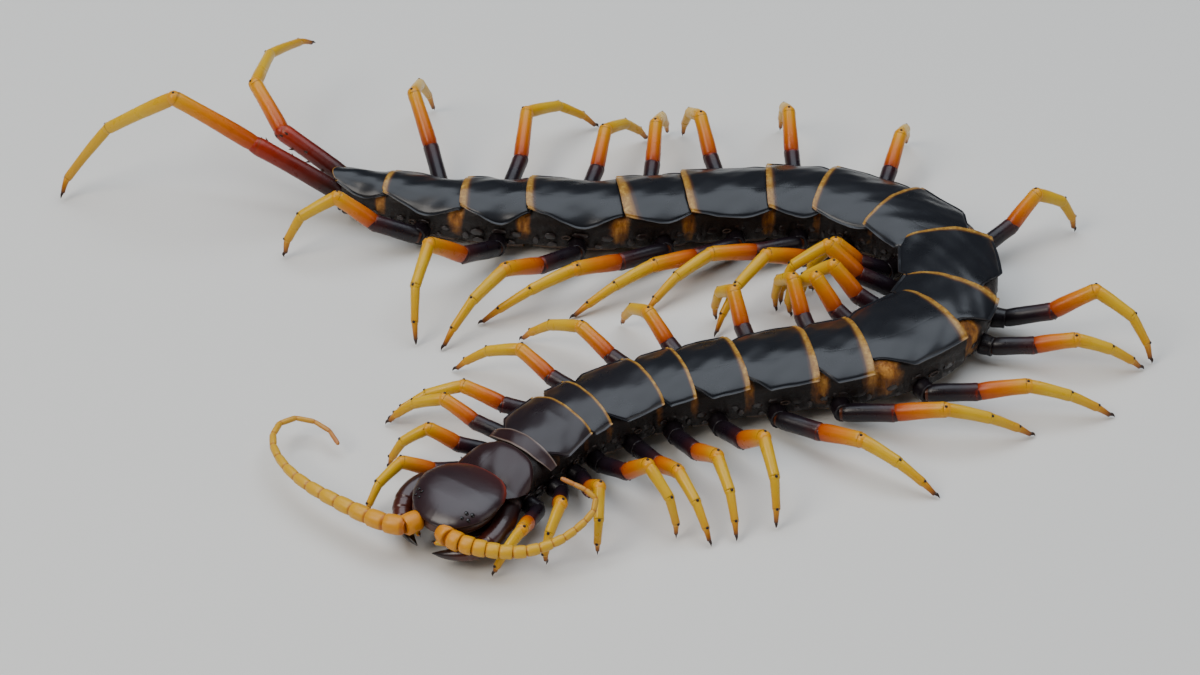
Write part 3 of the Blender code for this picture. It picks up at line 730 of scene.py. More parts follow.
length_mould = turned_mould(LENGTH_PROFILE, LENGTH_SIDES)
claw_mould = turned_mould(((0.0, 0.75), (0.1, 0.95), (0.3, 0.85), (0.55, 0.6), (0.8, 0.32), (0.97, 0.1),
                           (1.0, 0.03)), 10)
spur_mould = turned_mould(((0.0, 1.0), (0.5, 0.6), (1.0, 0.05)), 6)
ball_mould = new_ball(18, 12)


def leg_chain(first_angle, bend, length):
    """Reach and rise of the claw's tip from the hip when the leg is bent in one plane."""
    reach = 0.0
    rise = 0.0
    for share, part in zip(LEG_SHARES, LEG_BENDS):
        angle = first_angle - bend * part
        reach += length * share * math.cos(angle)
        rise += length * share * math.sin(angle)
    return reach, rise


def leg_angles(length, reach, drop):
    """First angle and bend that bring the foot to that reach, that far below the hip."""
    span = min(math.hypot(reach, drop), length * 0.995)
    low = 0.0
    high = 4.2
    for _ in range(40):
        middle = (low + high) / 2
        if math.hypot(*leg_chain(0.0, middle, length)) > span:
            low = middle
        else:
            high = middle
    end = leg_chain(0.0, low, length)
    return math.atan2(-drop, reach) - math.atan2(end[1], end[0]), low


def body_point(along, left, up):
    return Vector(on_body(np.array([along]), left, up)[0])


def leg_joints(segment, sign, stance):
    """Joints of one walking leg from the flank to the tip of its claw, in mm."""
    sweep, reach, curl, length = stance
    share = OUTER_HIP_AT if segment in OUTER_BEND and sign > 0 else HIP_AT
    along = STARTS[segment - 1] + share * LENGTHS[segment - 1]
    turn = float(heading(along))
    out = Vector((math.sin(turn), -math.cos(turn), 0)) * sign
    back = Vector((math.cos(turn), math.sin(turn), 0))
    root = body_point(along, 0.0, HIP_Z) + out * (float(half_width(along)) * HIP_OUT + ROOT_GAP)
    straight = reach
    for _ in range(4):
        first, bend = leg_angles(length, straight, HIP_Z)
        total = Vector((0.0, 0.0))
        for share, part in zip(LEG_SHARES, LEG_BENDS):
            flat = length * share * math.cos(first - bend * part)
            turned = math.radians(curl) * (part - 0.5)
            total += flat * Vector((math.cos(turned), math.sin(turned)))
        straight *= reach / total.length
    base = math.radians(sweep) - math.atan2(total.y, total.x)
    joints = [root + out * HIP_STUB]
    for share, part in zip(LEG_SHARES, LEG_BENDS):
        angle = first - bend * part
        turned = base + math.radians(curl) * (part - 0.5)
        flat = out * math.cos(turned) + back * math.sin(turned)
        joints.append(joints[-1] + length * share * (flat * math.cos(angle)
                                                     + Vector((0, 0, math.sin(angle)))))
    return [root] + joints, out


def stretch_between(piece, start, end, thick, thin, flat=0.94, tall=1.06, bow=0.0):
    """Lays an upright mould of unit length between two points with those radii (mm)."""
    axis = (end - start).normalized()
    across = axis.cross(Vector((0, 0, 1)))
    if across.length < 0.05:
        across = axis.cross(Vector((0, 1, 0)))
    across.normalize()
    rise = across.cross(axis)
    local = points_of(piece)
    radius = thick + (thin - thick) * local[:, 2:3]
    lift = bow * np.sin(math.pi * np.clip(local[:, 2:3], 0, 1))
    points = (np.array(start) + np.array(axis) * local[:, 2:3] * (end - start).length
              + np.array(across) * local[:, 0:1] * radius * flat
              + np.array(rise) * (local[:, 1:2] * radius * tall + lift))
    move_points(piece, points)


def assemble(pieces, name, finish, slot, *nodes):
    """Joins the lengths and joints of a limb into one skin and gives it its finish."""
    limb = join_all(pieces, name)
    clean(limb)
    crisp(limb, LIMB_EDGE)
    dress(limb, finish, slot, *nodes)


def length_piece(start, end, thick, thin, number, bow=0.0):
    piece = copy_of(length_mould, "length")
    places = points_of(piece)[:, 2]
    stretch_between(piece, start, end, thick, thin, bow=bow)
    mark(piece, "leg_place", number + np.clip(places, 0.001, 0.999))
    return piece


def claw_piece(start, end, radius, droop=0.22):
    """A curved claw that tapers to a point and bends down at its tip."""
    piece = copy_of(claw_mould, "claw")
    stretch_between(piece, start, end, radius, radius, flat=0.8, tall=1.0, bow=droop)
    mark(piece, "leg_place", CLAW_TONE)
    return piece


def spur_piece(start, end, radius, tone):
    piece = copy_of(spur_mould, "spur")
    stretch_between(piece, start, end, radius, radius)
    mark(piece, "leg_place", tone)
    return piece


def ball_piece(middle, radius, tone):
    piece = copy_of(ball_mould, "ball")
    move_points(piece, np.array(middle) + points_of(piece) * radius)
    mark(piece, "leg_place", tone)
    return piece


def knee_pieces(joint, before, after, radius, number):
    """Rounded joint between two lengths, with a small dark spot on its upper side."""
    knee = ball_piece(joint, radius, number - 0.06)
    bisector = (before - joint).normalized() + (after - joint).normalized()
    over = Vector((0, 0, 1)) if bisector.length < 0.05 else -bisector.normalized()
    return [knee, ball_piece(joint + over * radius * 0.93, KNEE_SPOT, SPOT_TONE)]


def walking_leg(name, segment, sign, stance, finish):
    joints, out = leg_joints(segment, sign, stance)
    size = FIRST_LEG_SIZE + LEG_SIZE_GAIN * min(1.0, segment / FULL_SIZE_FROM)
    thick, thin = SOCKET_RADII
    socket = copy_of(length_mould, "socket")
    places = points_of(socket)[:, 2]
    inner, outer = SOCKET_REACH
    stretch_between(socket, joints[0] - out * inner, joints[1] + out * outer, thick * size, thin * size)
    mark(socket, "leg_place", SOCKET_TONES[0] + SOCKET_TONES[1] * places)
    pieces = [socket]
    for k, (thick, thin) in enumerate(LEG_RADII):
        start = joints[k + 1]
        end = joints[k + 2]
        step = (end - start).normalized()
        if k == len(LEG_RADII) - 1:
            end = end - step * CLAW_LENGTH
        start = start - step * LENGTH_TUCK * size
        end = end + step * LENGTH_LAP
        pieces.append(length_piece(start, end, thick * size, thin * size, k, LEG_BOWS[k]))
        if k:
            knee = LEG_RADII[k - 1][1] * size * KNEE_FIT
            pieces += knee_pieces(joints[k + 1], joints[k], joints[k + 2], knee, k)
    tip = joints[-1]
    step = (tip - joints[-2]).normalized()
    root = tip - step * (CLAW_LENGTH + 0.1)
    pieces.append(claw_piece(root, Vector((tip.x, tip.y, CLAW_TIP_Z)), CLAW_RADIUS * size))
    root = joints[5] - (joints[5] - joints[4]).normalized() * 0.25 - Vector((0, 0, 0.25 * size))
    spur_tip = root + (step * 0.6 - Vector((0, 0, 0.28))) * size
    pieces.append(spur_piece(root, spur_tip, SPUR_RADIUS, SPUR_TONE))
    assemble(pieces, name + "_skin", finish, "leg_shell", name)


def leg_finish(name, root, thigh, thigh_end, second_root, second_end):
    """Colours run from the thigh to the claw; thin dark rings sit at the joints."""
    finish = Finish(name, 0.30, 0.05, 0.2, specular=0.33)
    place = finish.read("leg_place")
    uneven = finish.sum("ADD", place, finish.waver(finish.noise(0.8, 3), 0.22))
    moved = finish.sum("DIVIDE", uneven, LEG_STOPS)
    stops = [(0.0, root), (0.16, root), (0.6, thigh), (0.96, thigh_end), (1.03, second_root),
             (1.25, (0.46, 0.085, 0.0)), (1.6, second_end), (1.93, (0.64, 0.27, 0.001)),
             (2.05, (0.60, 0.29, 0.002)), (2.5, (0.64, 0.38, 0.010)), (3.5, (0.62, 0.34, 0.008)),
             (4.3, (0.56, 0.23, 0.006)), (4.75, (0.32, 0.10, 0.006)), (5.0, (0.05, 0.018, 0.010)),
             (6.0, (0.008, 0.006, 0.006))]
    colour = finish.ramp(moved, [(stop / LEG_STOPS, tone) for stop, tone in stops])
    share = finish.sum("FRACT", place)
    neck = finish.ramp(share, ((0.0, 1.0), (0.045, 1.0), (0.062, 0.0), (0.968, 0.0), (0.985, 0.8)))
    neck = finish.sum("MULTIPLY", neck, 0.7)
    finish.colour(finish.mix(neck, colour, (0.10, 0.022, 0.003)))
    finish.bump(finish.noise(2.4, 4, 0.6), 0.05, 0.5)
    finish.rough(finish.ramp(finish.noise(0.7, 3), ((0.3, 0.25), (0.7, 0.40))))
    return finish


dark_thigh = leg_finish("walking_leg", (0.008, 0.005, 0.007), (0.010, 0.005, 0.009), (0.035, 0.008, 0.010),
                        (0.26, 0.016, 0.0), (0.60, 0.165, 0.0))
for number, stances in enumerate(zip(LEFT_LEGS, RIGHT_LEGS), start=1):
    for side_name, sign, stance in (("left", 1, stances[0]), ("right", -1, stances[1])):
        walking_leg("leg_%s_%d" % (side_name, number), number, sign, stance, dark_thigh)


# Last legs. The hindmost pair isn't walked on: thick, long and held up behind the tail, with
# spines on the dark red thighs, orange and yellow beyond, and a long claw.
LAST_LEG_RIGHT = ((-46.5, 27.9, 11.2), (-57.0, 28.4, 18.5), (-67.0, 31.5, 11.5), (-73.5, 31.9, 3.0),
                  (-74.5, 30.5, 0.5))
LAST_LEG_LEFT = ((-43.5, 33.5, 9.6), (-47.5, 39.5, 13.5), (-46.5, 49.5, 12.0), (-43.0, 56.5, 9.6),
                 (-41.0, 58.8, 8.0))
LAST_LEG_RADII = ((1.3, 1.25), (1.22, 1.02), (1.0, 0.78), (0.76, 0.55), (0.50, 0.28))
LAST_LEG_TUCK = 0.4
LAST_LEG_BOW = 0.12
LAST_LEG_APART = 1.6
LAST_LEG_INSIDE = 1.2
LAST_LEG_Z = 4.3
LAST_CLAW_RADIUS = 0.28
# Spines on the thigh: radius, distance of the foot from the thigh's middle line, and how far the
# tip lies out and on from it; then the share along the thigh and the angle round it (degrees).
SPINE_RADIUS = 0.2
SPINE_FOOT = 1.15
SPINE_TIP = (0.45, 0.5)
THIGH_SPINES = ((0.35, 200), (0.55, 240), (0.78, 205), (0.92, 130), (0.96, 160), (0.62, 150))


def plan(point):
    return Vector((point[0] - FLOOR_MIDDLE[0], point[1] - FLOOR_MIDDLE[1], point[2]))


def last_leg(name, sign, route, finish):
    root = body_point(STARTS[-1] - LAST_LEG_INSIDE, sign * LAST_LEG_APART, LAST_LEG_Z)
    joints = [root] + [plan(point) for point in route]
    pieces = []
    for k, (thick, thin) in enumerate(LAST_LEG_RADII):
        start = joints[k]
        end = joints[k + 1]
        step = (end - start).normalized()
        if k == len(LAST_LEG_RADII) - 1:
            end = end - step * CLAW_LENGTH
        tuck = LAST_LEG_TUCK if k else 0.0
        pieces.append(length_piece(start - step * tuck, end, thick, thin, k, LAST_LEG_BOW))
        if k:
            knee = LAST_LEG_RADII[k - 1][1] * KNEE_FIT
            pieces += knee_pieces(start, joints[k - 1], joints[k + 1], knee, k)
    root = joints[-1] - (joints[-1] - joints[-2]).normalized() * (CLAW_LENGTH + 0.2)
    pieces.append(claw_piece(root, joints[-1], LAST_CLAW_RADIUS, droop=0.12))
    axis = (joints[1] - joints[0]).normalized()
    across = axis.cross(Vector((0, 0, 1))).normalized() * sign
    above = across.cross(axis) * sign
    for share, angle in THIGH_SPINES:
        away = across * math.cos(math.radians(angle)) + above * math.sin(math.radians(angle))
        foot = joints[0].lerp(joints[1], share) + away * SPINE_FOOT
        spine_tip = foot + away * SPINE_TIP[0] + axis * SPINE_TIP[1]
        pieces.append(spur_piece(foot, spine_tip, SPINE_RADIUS, SPINE_TONE))
    assemble(pieces, name + "_skin", finish, "last_leg_shell", name)


last_finish = leg_finish("last_leg", (0.020, 0.004, 0.004), (0.13, 0.008, 0.003), (0.28, 0.018, 0.002),
                         (0.40, 0.045, 0.001), (0.60, 0.165, 0.0))
last_leg("last_leg_left", 1, LAST_LEG_LEFT, last_finish)
last_leg("last_leg_right", -1, LAST_LEG_RIGHT, last_finish)


# Head. A low rounded shield of plum-black cuticle with a reddish rear rim covers the head's
# soft capsule; it is moulded as one thick plate and laps over the neck.
HEAD_TURN = math.radians(54)
HEAD_ASIDE = -1.0
HEAD_AHEAD = np.array((-math.cos(HEAD_TURN), -math.sin(HEAD_TURN), 0.0))
HEAD_LEFT = np.array((math.sin(HEAD_TURN), -math.cos(HEAD_TURN), 0.0))
HEAD_BACK = np.array((BODY_START[0] - FLOOR_MIDDLE[0], BODY_START[1] - FLOOR_MIDDLE[1], 0.0))
HEAD_BACK += HEAD_LEFT * HEAD_ASIDE
# Outline of the shield: distance ahead of the head's rear, half width. The whole shield sits a
# little to the left, more so at its rear.
HEAD_OUTLINE = ((-0.5, 0.0), (-0.4, 1.45), (-0.1, 2.6), (0.5, 3.65), (1.4, 4.55), (2.6, 5.25), (4.0, 5.55),
                (5.4, 5.45), (6.8, 5.0), (8.0, 4.2), (8.9, 3.2), (9.45, 2.1), (9.75, 1.1), (9.85, 0.0))
SHIELD_MIDDLE = (HEAD_OUTLINE[0][0] + HEAD_OUTLINE[-1][0]) / 2
SHIELD_HALF = (HEAD_OUTLINE[-1][0] - HEAD_OUTLINE[0][0]) / 2
SHIELD_ASIDE = 0.45
# Heights of the shield's middle line and of its rim, along the head, and the hollow beneath.
CROWN = ((-0.6, 1.5, 4.0, 6.5, 8.5, 9.9), (7.75, 8.0, 8.0, 7.75, 7.35, 7.0))
RIM = ((-0.6, 2.0, 5.0, 8.0, 9.9), (7.0, 6.8, 6.55, 6.2, 5.9))
SHIELD_THICK = 0.7
SHIELD_EDGE = 0.15
SHIELD_BEAD = 0.07


def on_head(ahead, left, up):
    """Points in the part's frame (mm) from distances ahead, to the left and up on the head."""
    return (HEAD_BACK + np.outer(ahead, HEAD_AHEAD) + np.outer(left, HEAD_LEFT)
            + np.outer(up, np.array((0.0, 0.0, 1.0))))


def head_wide(ahead):
    return np.interp(ahead, *zip(*HEAD_OUTLINE))


def on_shield(turn, out_share):
    """Distance ahead, to the left and height of points on the shield's upper face."""
    rim_ahead = SHIELD_MIDDLE + SHIELD_HALF * np.cos(turn)
    ahead = SHIELD_MIDDLE + (rim_ahead - SHIELD_MIDDLE) * out_share
    left = np.sign(np.sin(turn)) * head_wide(rim_ahead) * out_share
    left += SHIELD_ASIDE * (1 + np.clip((4.0 - ahead) / 4.0, 0, 1))
    rim = np.interp(ahead, *RIM)
    up = rim + (np.interp(ahead, *CROWN) - rim) * np.clip(1 - out_share ** 3.2, 0, 1) ** 0.65
    return ahead, left, up


head_shield = new_ball(96, 60)
head_shield.name = "head_shield"
ball = points_of(head_shield)
out_share = np.clip(np.hypot(ball[:, 0], ball[:, 1]), 0, 1)
ahead, left, up = on_shield(np.arctan2(ball[:, 0], ball[:, 1]), out_share)
rearward = np.clip((3.2 - ahead) / 2.4, 0, 1)
up += SHIELD_BEAD * np.exp(-((out_share - 0.962) / 0.014) ** 2) * rearward
thick = SHIELD_THICK * np.sqrt(np.clip(1 - out_share ** 2, 0, 1)) + SHIELD_EDGE * out_share ** 8
up -= np.where(ball[:, 2] < 0, thick, 0.0)
move_points(head_shield, on_head(ahead, left, up))
mark(head_shield, "rim", out_share)
mark(head_shield, "rearward", rearward)
clean(head_shield)

shield_finish = Finish("plum_shield", 0.31, 0.12, 0.25)
plum_tone = shield_finish.cloudy((0.012, 0.004, 0.006), (0.030, 0.011, 0.014), 0.25, 4)
line = shield_finish.ramp(shield_finish.read("rim"), ((0.0, 0.0), (0.90, 0.08), (0.95, 0.35), (0.97, 1.0)))
line = shield_finish.sum("MULTIPLY", line, shield_finish.read("rearward"))
shield_finish.colour(shield_finish.mix(line, plum_tone, (0.27, 0.032, 0.014)))
shield_finish.bump(shield_finish.noise(2.8, 3, 0.6), 0.03, 0.35)
dress(head_shield, shield_finish, "head_shell")


def blunt_block(piece, wide_at, middle, reach, point, side, full, level_z, over, under):
    """Swells a ball into a blunt block on the head, of half length "reach" about its middle. The
    lower "point" and "side", the blunter its ends and the squarer its sides."""
    ball = points_of(piece)
    ahead = middle + reach * np.sign(ball[:, 1]) * np.abs(ball[:, 1]) ** point
    level = np.clip(np.hypot(ball[:, 0], ball[:, 2]), 1e-6, None)
    swell = np.minimum(1, level * full)
    left = wide_at(ahead) * np.sign(ball[:, 0]) * np.abs(ball[:, 0] / level) ** side * swell
    up = level_z + ball[:, 2] / level * swell * np.where(ball[:, 2] > 0, over, under)
    move_points(piece, on_head(ahead, left, up))


# Soft capsule under the shield, with the brow that the antennae grow from.
capsule = new_ball(48, 28)
capsule.name = "head_capsule"
CAPSULE_INSET = 0.35
CAPSULE_LEAST = 1.2
blunt_block(capsule, lambda ahead: np.maximum(head_wide(ahead) - CAPSULE_INSET, CAPSULE_LEAST),
            middle=4.7, reach=4.9, point=0.75, side=0.7, full=1.6, level_z=4.9, over=1.2, under=1.35)
clean(capsule)
capsule_finish = Finish("head_capsule", 0.38, 0.1)
capsule_finish.colour(capsule_finish.cloudy((0.030, 0.010, 0.009), (0.11, 0.036, 0.018), 0.6, 4))
capsule_finish.bump(capsule_finish.noise(2.4, 4), 0.06, 0.6)
dress(capsule, capsule_finish, "head_shell", "head")


# Eyes. Four round black lenses of hard clear skin a side, set in a lozenge near the front
# corners of the shield and grown into its edge. One ball is shaped and placed eight times.
EYE_TURN = 52
EYE_OUT = 0.86
# Each lens: degrees round the shield and share outwards from the group's middle, radius (mm).
LENSES = ((0, 0.065, 0.26), (0, -0.075, 0.27), (8.0, 0.0, 0.28), (-8.0, 0.0, 0.24))
EYE_LEAN = 0.45
LENS_BULGE = 0.62

lens_mould = new_ball(24, 14)


def eye_group(name, sign):
    pieces = []
    for round_by, outward, radius in LENSES:
        lens = copy_of(lens_mould, "lens")
        local = points_of(lens) * radius
        ahead, left, up = on_shield(math.radians(EYE_TURN + round_by) * sign, EYE_OUT + outward)
        raised = up + local[:, 2] * LENS_BULGE - local[:, 1] * sign * EYE_LEAN
        move_points(lens, on_head(ahead + local[:, 0], left + local[:, 1], raised))
        pieces.append(lens)
    group = join_all(pieces, name + "_lenses")
    clean(group)
    dress(group, eye_finish, "eye_lens", name)


eye_finish = Finish("black_lens", 0.14)
eye_finish.colour(eye_finish.cloudy((0.002, 0.002, 0.003), (0.008, 0.004, 0.005), 2.0, 2))
eye_finish.bump(eye_finish.noise(3.0, 2), 0.01, 0.2)
eye_group("eyes_left", 1)
eye_group("eyes_right", -1)
bpy.data.objects.remove(lens_mould)


# Antennae. Two whips of seventeen short articles each, orange and smooth at the root and tan
# with a fine nap beyond, each article a small cup that holds the next.
ANTENNA_RIGHT = ((-22.7, -42.3, 4.9), (-27.2, -40.3, 4.6), (-36.0, -33.0, 4.0), (-40.0, -25.8, 3.5),
                 (-39.2, -20.8, 3.2), (-35.9, -20.2, 2.8), (-32.7, -22.4, 2.2), (-32.3, -23.7, 2.0))
ANTENNA_LEFT = ((-17.4, -44.5, 4.9), (-14.3, -45.8, 4.7), (-9.3, -46.5, 4.6), (-4.7, -45.2, 5.3),
                (-1.5, -43.2, 6.8), (-0.4, -41.6, 7.9), (-1.3, -40.6, 8.8), (-4.4, -39.0, 9.4))
ANTENNA_RADII = (1.35, 0.28)
ANTENNA_TAPER = 1.6
ANTENNA_ARTICLES = 17
ROUTE_STEPS = 12 * ANTENNA_ARTICLES
# Root of the left one: distance ahead, to the left and up on the head.
ANTENNA_ROOT = (9.2, 1.75, 4.9)
ARTICLE_PROFILE = ((-0.10, 0.66), (0.0, 0.76), (0.07, 0.90), (0.30, 0.98), (0.65, 1.03), (0.90, 1.02),
                   (1.0, 0.90), (0.97, 0.68))


def head_vector(ahead, left, up):
    return Vector(on_head(ahead, left, up)[0])


def smooth_route(points, count):
    """Evenly counted points on a smooth curve through the route's own points."""
    spans = len(points) - 1
    route = []
    for k in range(count + 1):
        place = k * spans / count
        index = min(int(place), spans - 1)
        t = place - index
        p1 = points[index]
        p2 = points[index + 1]
        p0 = points[index - 1] if index else p1 * 2 - p2
        p3 = points[index + 2] if index + 2 <= spans else p2 * 2 - p1
        route.append(0.5 * ((2 * p1) + (p2 - p0) * t + (2 * p0 - 5 * p1 + 4 * p2 - p3) * t ** 2
                            + (3 * p1 - p0 - 3 * p2 + p3) * t ** 3))
    return route


article_mould = turned_mould(ARTICLE_PROFILE, 20)


def antenna(name, sign, points):
    ahead, apart, height = ANTENNA_ROOT
    root = head_vector(ahead, sign * apart, height)
    fine_route = np.array(smooth_route([root] + [plan(point) for point in points], ROUTE_STEPS))
    gone = np.concatenate([[0], np.cumsum(np.linalg.norm(np.diff(fine_route, axis=0), axis=1))])
    even = np.linspace(0, gone[-1], ANTENNA_ARTICLES + 1)
    route = [Vector([np.interp(place, gone, fine_route[:, k]) for k in range(3)]) for place in even]
    thick, thin = ANTENNA_RADII
    left_over = 1 - np.arange(ANTENNA_ARTICLES + 1) / ANTENNA_ARTICLES
    radii = thin + (thick - thin) * left_over ** ANTENNA_TAPER
    pieces = []
    for k in range(ANTENNA_ARTICLES):
        article = copy_of(article_mould, "article")
        places = points_of(article)[:, 2]
        stretch_between(article, route[k], route[k + 1], radii[k], radii[k + 1], 1.0, 1.0)
        mark(article, "article", k + np.clip(places, 0.001, 0.999))
        pieces.append(article)
    tip = new_ball(16, 10)
    move_points(tip, np.array(route[-1]) + points_of(tip) * thin * 0.92)
    mark(tip, "article", ANTENNA_ARTICLES - 0.5)
    assemble(pieces + [tip], name + "_whip", antenna_finish, "antenna_shell", name)


antenna_finish = Finish("antenna", 0.38, 0.05, 0.25, specular=0.4)
article_place = antenna_finish.read("article")
antenna_tone = antenna_finish.ramp(antenna_finish.sum("DIVIDE", article_place, ANTENNA_ARTICLES),
                                   ((0.0, (0.62, 0.21, 0.001)), (0.14, (0.64, 0.27, 0.002)),
                                    (0.26, (0.64, 0.34, 0.008)), (0.55, (0.62, 0.35, 0.014)),
                                    (0.85, (0.54, 0.27, 0.02)), (1.0, (0.42, 0.15, 0.04))))
article_share = antenna_finish.sum("FRACT", article_place)
article_ring = antenna_finish.ramp(article_share, ((0.0, 0.75), (0.06, 0.6), (0.14, 0.0), (0.94, 0.0),
                                                   (1.0, 0.4)))
antenna_finish.colour(antenna_finish.mix(article_ring, antenna_tone, (0.36, 0.085, 0.008)))
antenna_finish.bump(antenna_finish.noise(5.0, 4, 0.7), 0.04, 0.6)
antenna("antenna_left", 1, ANTENNA_LEFT)
antenna("antenna_right", -1, ANTENNA_RIGHT)
bpy.data.objects.remove(article_mould)


# Venom claws. A pair of stout poison hooks hugs the head from below: a thick dark red base
# length, two short rings and a long curved claw with a black point. Both spring from a broad
# plate under the head with two rows of small black teeth.
HOOK_ROUTE = ((-0.8, 4.5, 3.8), (3.6, 6.2, 3.8), (6.3, 6.3, 3.3), (8.5, 5.0, 2.7), (9.9, 3.0, 2.3),
              (10.6, 1.1, 2.0))
HOOK_STEPS = 24
HOOK_SIDES = 32
HOOK_CUTS = 95
# Middle line of the left hook on the head (ahead, left, up), and its thickness: share of the way
# along it, radius.
HOOK_RADII = ((0, 1.10), (0.08, 1.35), (0.2, 1.48), (0.36, 1.42), (0.5, 1.25), (0.62, 1.05), (0.75, 0.78),
              (0.88, 0.45), (0.97, 0.16), (1.0, 0.05))
# Where the thick length and the two short rings end, as shares of the way along the hook, the
# groove and bead there (mm), its height by its width, and the share over which it takes its turn.
HOOK_RINGS = (0.42, 0.52, 0.62)
RING_GROOVE = 0.10
RING_BEAD = 0.04
HOOK_FLAT = 0.95
HOOK_LOOK = 0.02

bpy.ops.mesh.primitive_cylinder_add(vertices=HOOK_SIDES, radius=1, depth=1, end_fill_type="TRIFAN")
hook_mould = bpy.context.object
bpy.ops.object.mode_set(mode="EDIT")
bpy.ops.mesh.select_mode(type="EDGE")
bpy.ops.mesh.select_all(action="DESELECT")
bpy.ops.object.mode_set(mode="OBJECT")
for cut_edge in hook_mould.data.edges:
    first, second = (hook_mould.data.vertices[k].co for k in cut_edge.vertices)
    cut_edge.select = abs(first.z - second.z) > 0.5
bpy.ops.object.mode_set(mode="EDIT")
bpy.ops.mesh.subdivide(number_cuts=HOOK_CUTS)
bpy.ops.mesh.select_mode(type="VERT")
bpy.ops.object.mode_set(mode="OBJECT")


def venom_claw(name, sign):
    route = smooth_route([head_vector(a, sign * b, c) for a, b, c in HOOK_ROUTE], HOOK_STEPS)
    hook = copy_of(hook_mould, name + "_hook")
    local = points_of(hook)
    share = local[:, 2] + 0.5
    centres = np.array(route)
    places = np.linspace(0, 1, len(route))

    def centre_at(place):
        return np.stack([np.interp(place, places, centres[:, k]) for k in range(3)], axis=1)

    axis = centre_at(share + HOOK_LOOK) - centre_at(share - HOOK_LOOK)
    axis /= np.linalg.norm(axis, axis=1)[:, None]
    across = np.cross(axis, np.array((0.0, 0.0, 1.0)))
    across /= np.linalg.norm(across, axis=1)[:, None]
    rise = np.cross(across, axis)
    radius = np.interp(share, *zip(*HOOK_RADII))
    for ring in HOOK_RINGS:
        radius -= RING_GROOVE * np.exp(-((share - ring) / 0.008) ** 2)
        radius += RING_BEAD * np.exp(-((share - ring + 0.03) / 0.015) ** 2)
    points = (centre_at(share) + across * (local[:, 0] * radius)[:, None]
              + rise * (local[:, 1] * radius * HOOK_FLAT)[:, None])
    move_points(hook, points)
    mark(hook, "hook", share)
    clean(hook)
    dress(hook, hook_finish, "claw_shell", name)


hook_finish = Finish("venom_claw", 0.28, 0.15, 0.15)
HOOK_DARK = (0.012, 0.004, 0.004)
# Painted highlight: a pale ring near the hook's root stands in for the glint on its glossy joint.
HOOK_PAINTED_HIGHLIGHT = (0.11, 0.075, 0.070)
uneven_share = hook_finish.sum("ADD", hook_finish.read("hook"),
                               hook_finish.sum("MULTIPLY", hook_finish.noise(0.6, 3), 0.06))
# The pale stop near the root is a painted highlight; the rest runs dark red to a black point.
hook_finish.colour(hook_finish.ramp(uneven_share, (
    (0.0, HOOK_DARK), (0.055, HOOK_DARK), (0.065, HOOK_PAINTED_HIGHLIGHT), (0.085, HOOK_PAINTED_HIGHLIGHT),
    (0.095, HOOK_DARK), (0.40, (0.035, 0.007, 0.005)), (0.66, (0.080, 0.014, 0.006)),
    (0.80, (0.020, 0.006, 0.005)), (1.0, (0.006, 0.005, 0.005)))))
hook_finish.bump(hook_finish.noise(2.2, 3), 0.03, 0.4)
venom_claw("venom_claw_left", 1)
venom_claw("venom_claw_right", -1)
bpy.data.objects.remove(hook_mould)

JAW_OUTLINE = ((0.2, 4.1), (2.2, 4.9), (4.4, 4.6), (5.8, 3.6), (6.7, 2.4))
# Where the plate lies in the hook's run of colours, and its teeth beyond it.
JAW_TONE = 0.3
TOOTH_TONE = 1.0
TEETH_A_SIDE = 5
TOOTH_RADIUS = 0.26
# Roots and tips of the teeth on the head: distance ahead, rise of the row's arc, the first one's
# distance from the middle, the step outwards, and height.
TOOTH_ROWS = ((6.2, 0.12, 0.45, 0.42, 1.9), (7.15, 0.10, 0.45, 0.40, 1.75))

jaw_plate = new_ball(40, 24)
blunt_block(jaw_plate, lambda ahead: np.interp(ahead, *zip(*JAW_OUTLINE)), middle=3.45, reach=3.25,
            point=0.7, side=0.6, full=2, level_z=2.25, over=0.9, under=0.9)
mark(jaw_plate, "hook", JAW_TONE)
clean(jaw_plate)

jaw_pieces = [jaw_plate]
for sign in (-1, 1):
    for k in range(TEETH_A_SIDE):
        tooth = copy_of(spur_mould, "tooth")
        root, tip = (head_vector(ahead + arc * (2 - abs(k - 2)), sign * (first + step * k), height)
                     for ahead, arc, first, step, height in TOOTH_ROWS)
        stretch_between(tooth, root, tip, TOOTH_RADIUS, TOOTH_RADIUS)
        mark(tooth, "hook", TOOTH_TONE)
        jaw_pieces.append(tooth)
jaw_plate = join_all(jaw_pieces, "jaw_plate")
clean(jaw_plate)
dress(jaw_plate, hook_finish, "claw_shell", "venom_claw_base")


# Mouth palps. Two short jointed feelers lie under the brow between the venom claws, ochre and
# soft, with a tiny dark claw.
PALP_ROUTE = ((6.6, 2.6, 3.6), (8.2, 3.0, 3.5), (9.5, 2.3, 3.4), (10.0, 1.3, 3.3))
# Radii of each length at its root and end, and of the ball that ends it.
PALP_RADII = ((0.62, 0.55, 0.50), (0.50, 0.42, 0.37), (0.38, 0.29, 0.24))
PALP_CLAW = 0.6
PALP_CLAW_RADIUS = 0.18
PALP_LENGTH = 2
PALP_END_TONE = 1.7

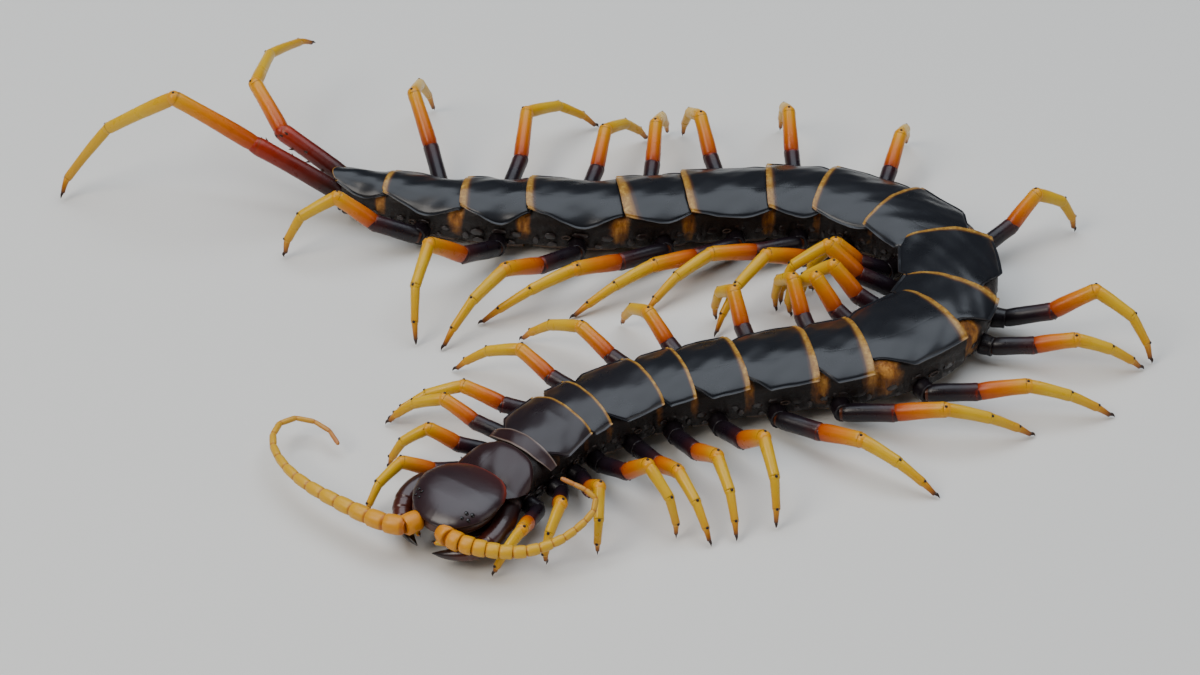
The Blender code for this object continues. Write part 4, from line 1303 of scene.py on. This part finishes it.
palps = []
for sign in (-1, 1):
    route = [head_vector(ahead, sign * left, up) for ahead, left, up in PALP_ROUTE]
    for start, end, (thick, thin, ball) in zip(route, route[1:], PALP_RADII):
        palps.append(length_piece(start, end, thick, thin, PALP_LENGTH))
        palps.append(ball_piece(end, ball, PALP_END_TONE))
    tip = route[-1] + (route[-1] - route[-2]).normalized() * PALP_CLAW
    palps.append(claw_piece(route[-1], tip, PALP_CLAW_RADIUS))
assemble(palps, "mouth_palps", dark_thigh, "leg_shell")
for mould_piece in (length_mould, claw_mould, spur_mould, ball_mould):
    bpy.data.objects.remove(mould_piece)


# Floor and light. A plain pale floor and soft studio lamps, with a large cool one behind and
# above whose reflection lies along the back plates. The floor lies a hair under the claws.
FLOOR_SIZE = 3.0
FLOOR_DROP = 0.05
bpy.ops.mesh.primitive_plane_add(size=FLOOR_SIZE, location=(0, 0, -FLOOR_DROP * MM))
floor = bpy.context.object
floor.name = "studio_floor"
floor_finish = Finish("studio_floor", 0.7)
floor_finish.colour((0.72, 0.70, 0.66))
floor.data.materials.append(floor_finish.material)


def lamp(name, place, aim, size, power, colour):
    data = bpy.data.lights.new(name, "AREA")
    data.shape = "RECTANGLE"
    data.size, data.size_y = size
    data.energy = power
    data.color = colour
    source = bpy.data.objects.new(name, data)
    source.location = place
    source.rotation_euler = (Vector(aim) - Vector(place)).to_track_quat("-Z", "Y").to_euler()
    bpy.context.scene.collection.objects.link(source)


lamp("overhead_lamp", (0.02, 0.12, 0.62), (0, 0, 0), (0.80, 0.60), 4.8, (0.82, 0.90, 1.0))
lamp("key_lamp", (-0.40, -0.28, 0.50), (0, 0, 0), (0.34, 0.34), 2.6, (1.0, 0.95, 0.88))
lamp("fill_lamp", (0.55, -0.30, 0.30), (0, 0, 0), (0.4, 0.4), 0.6, (1.0, 0.97, 0.92))

world = bpy.data.worlds.new("studio_air")
world.use_nodes = True
world.node_tree.nodes["Background"].inputs["Color"].default_value = (0.80, 0.85, 0.92, 1.0)
world.node_tree.nodes["Background"].inputs["Strength"].default_value = 0.12
bpy.context.scene.world = world
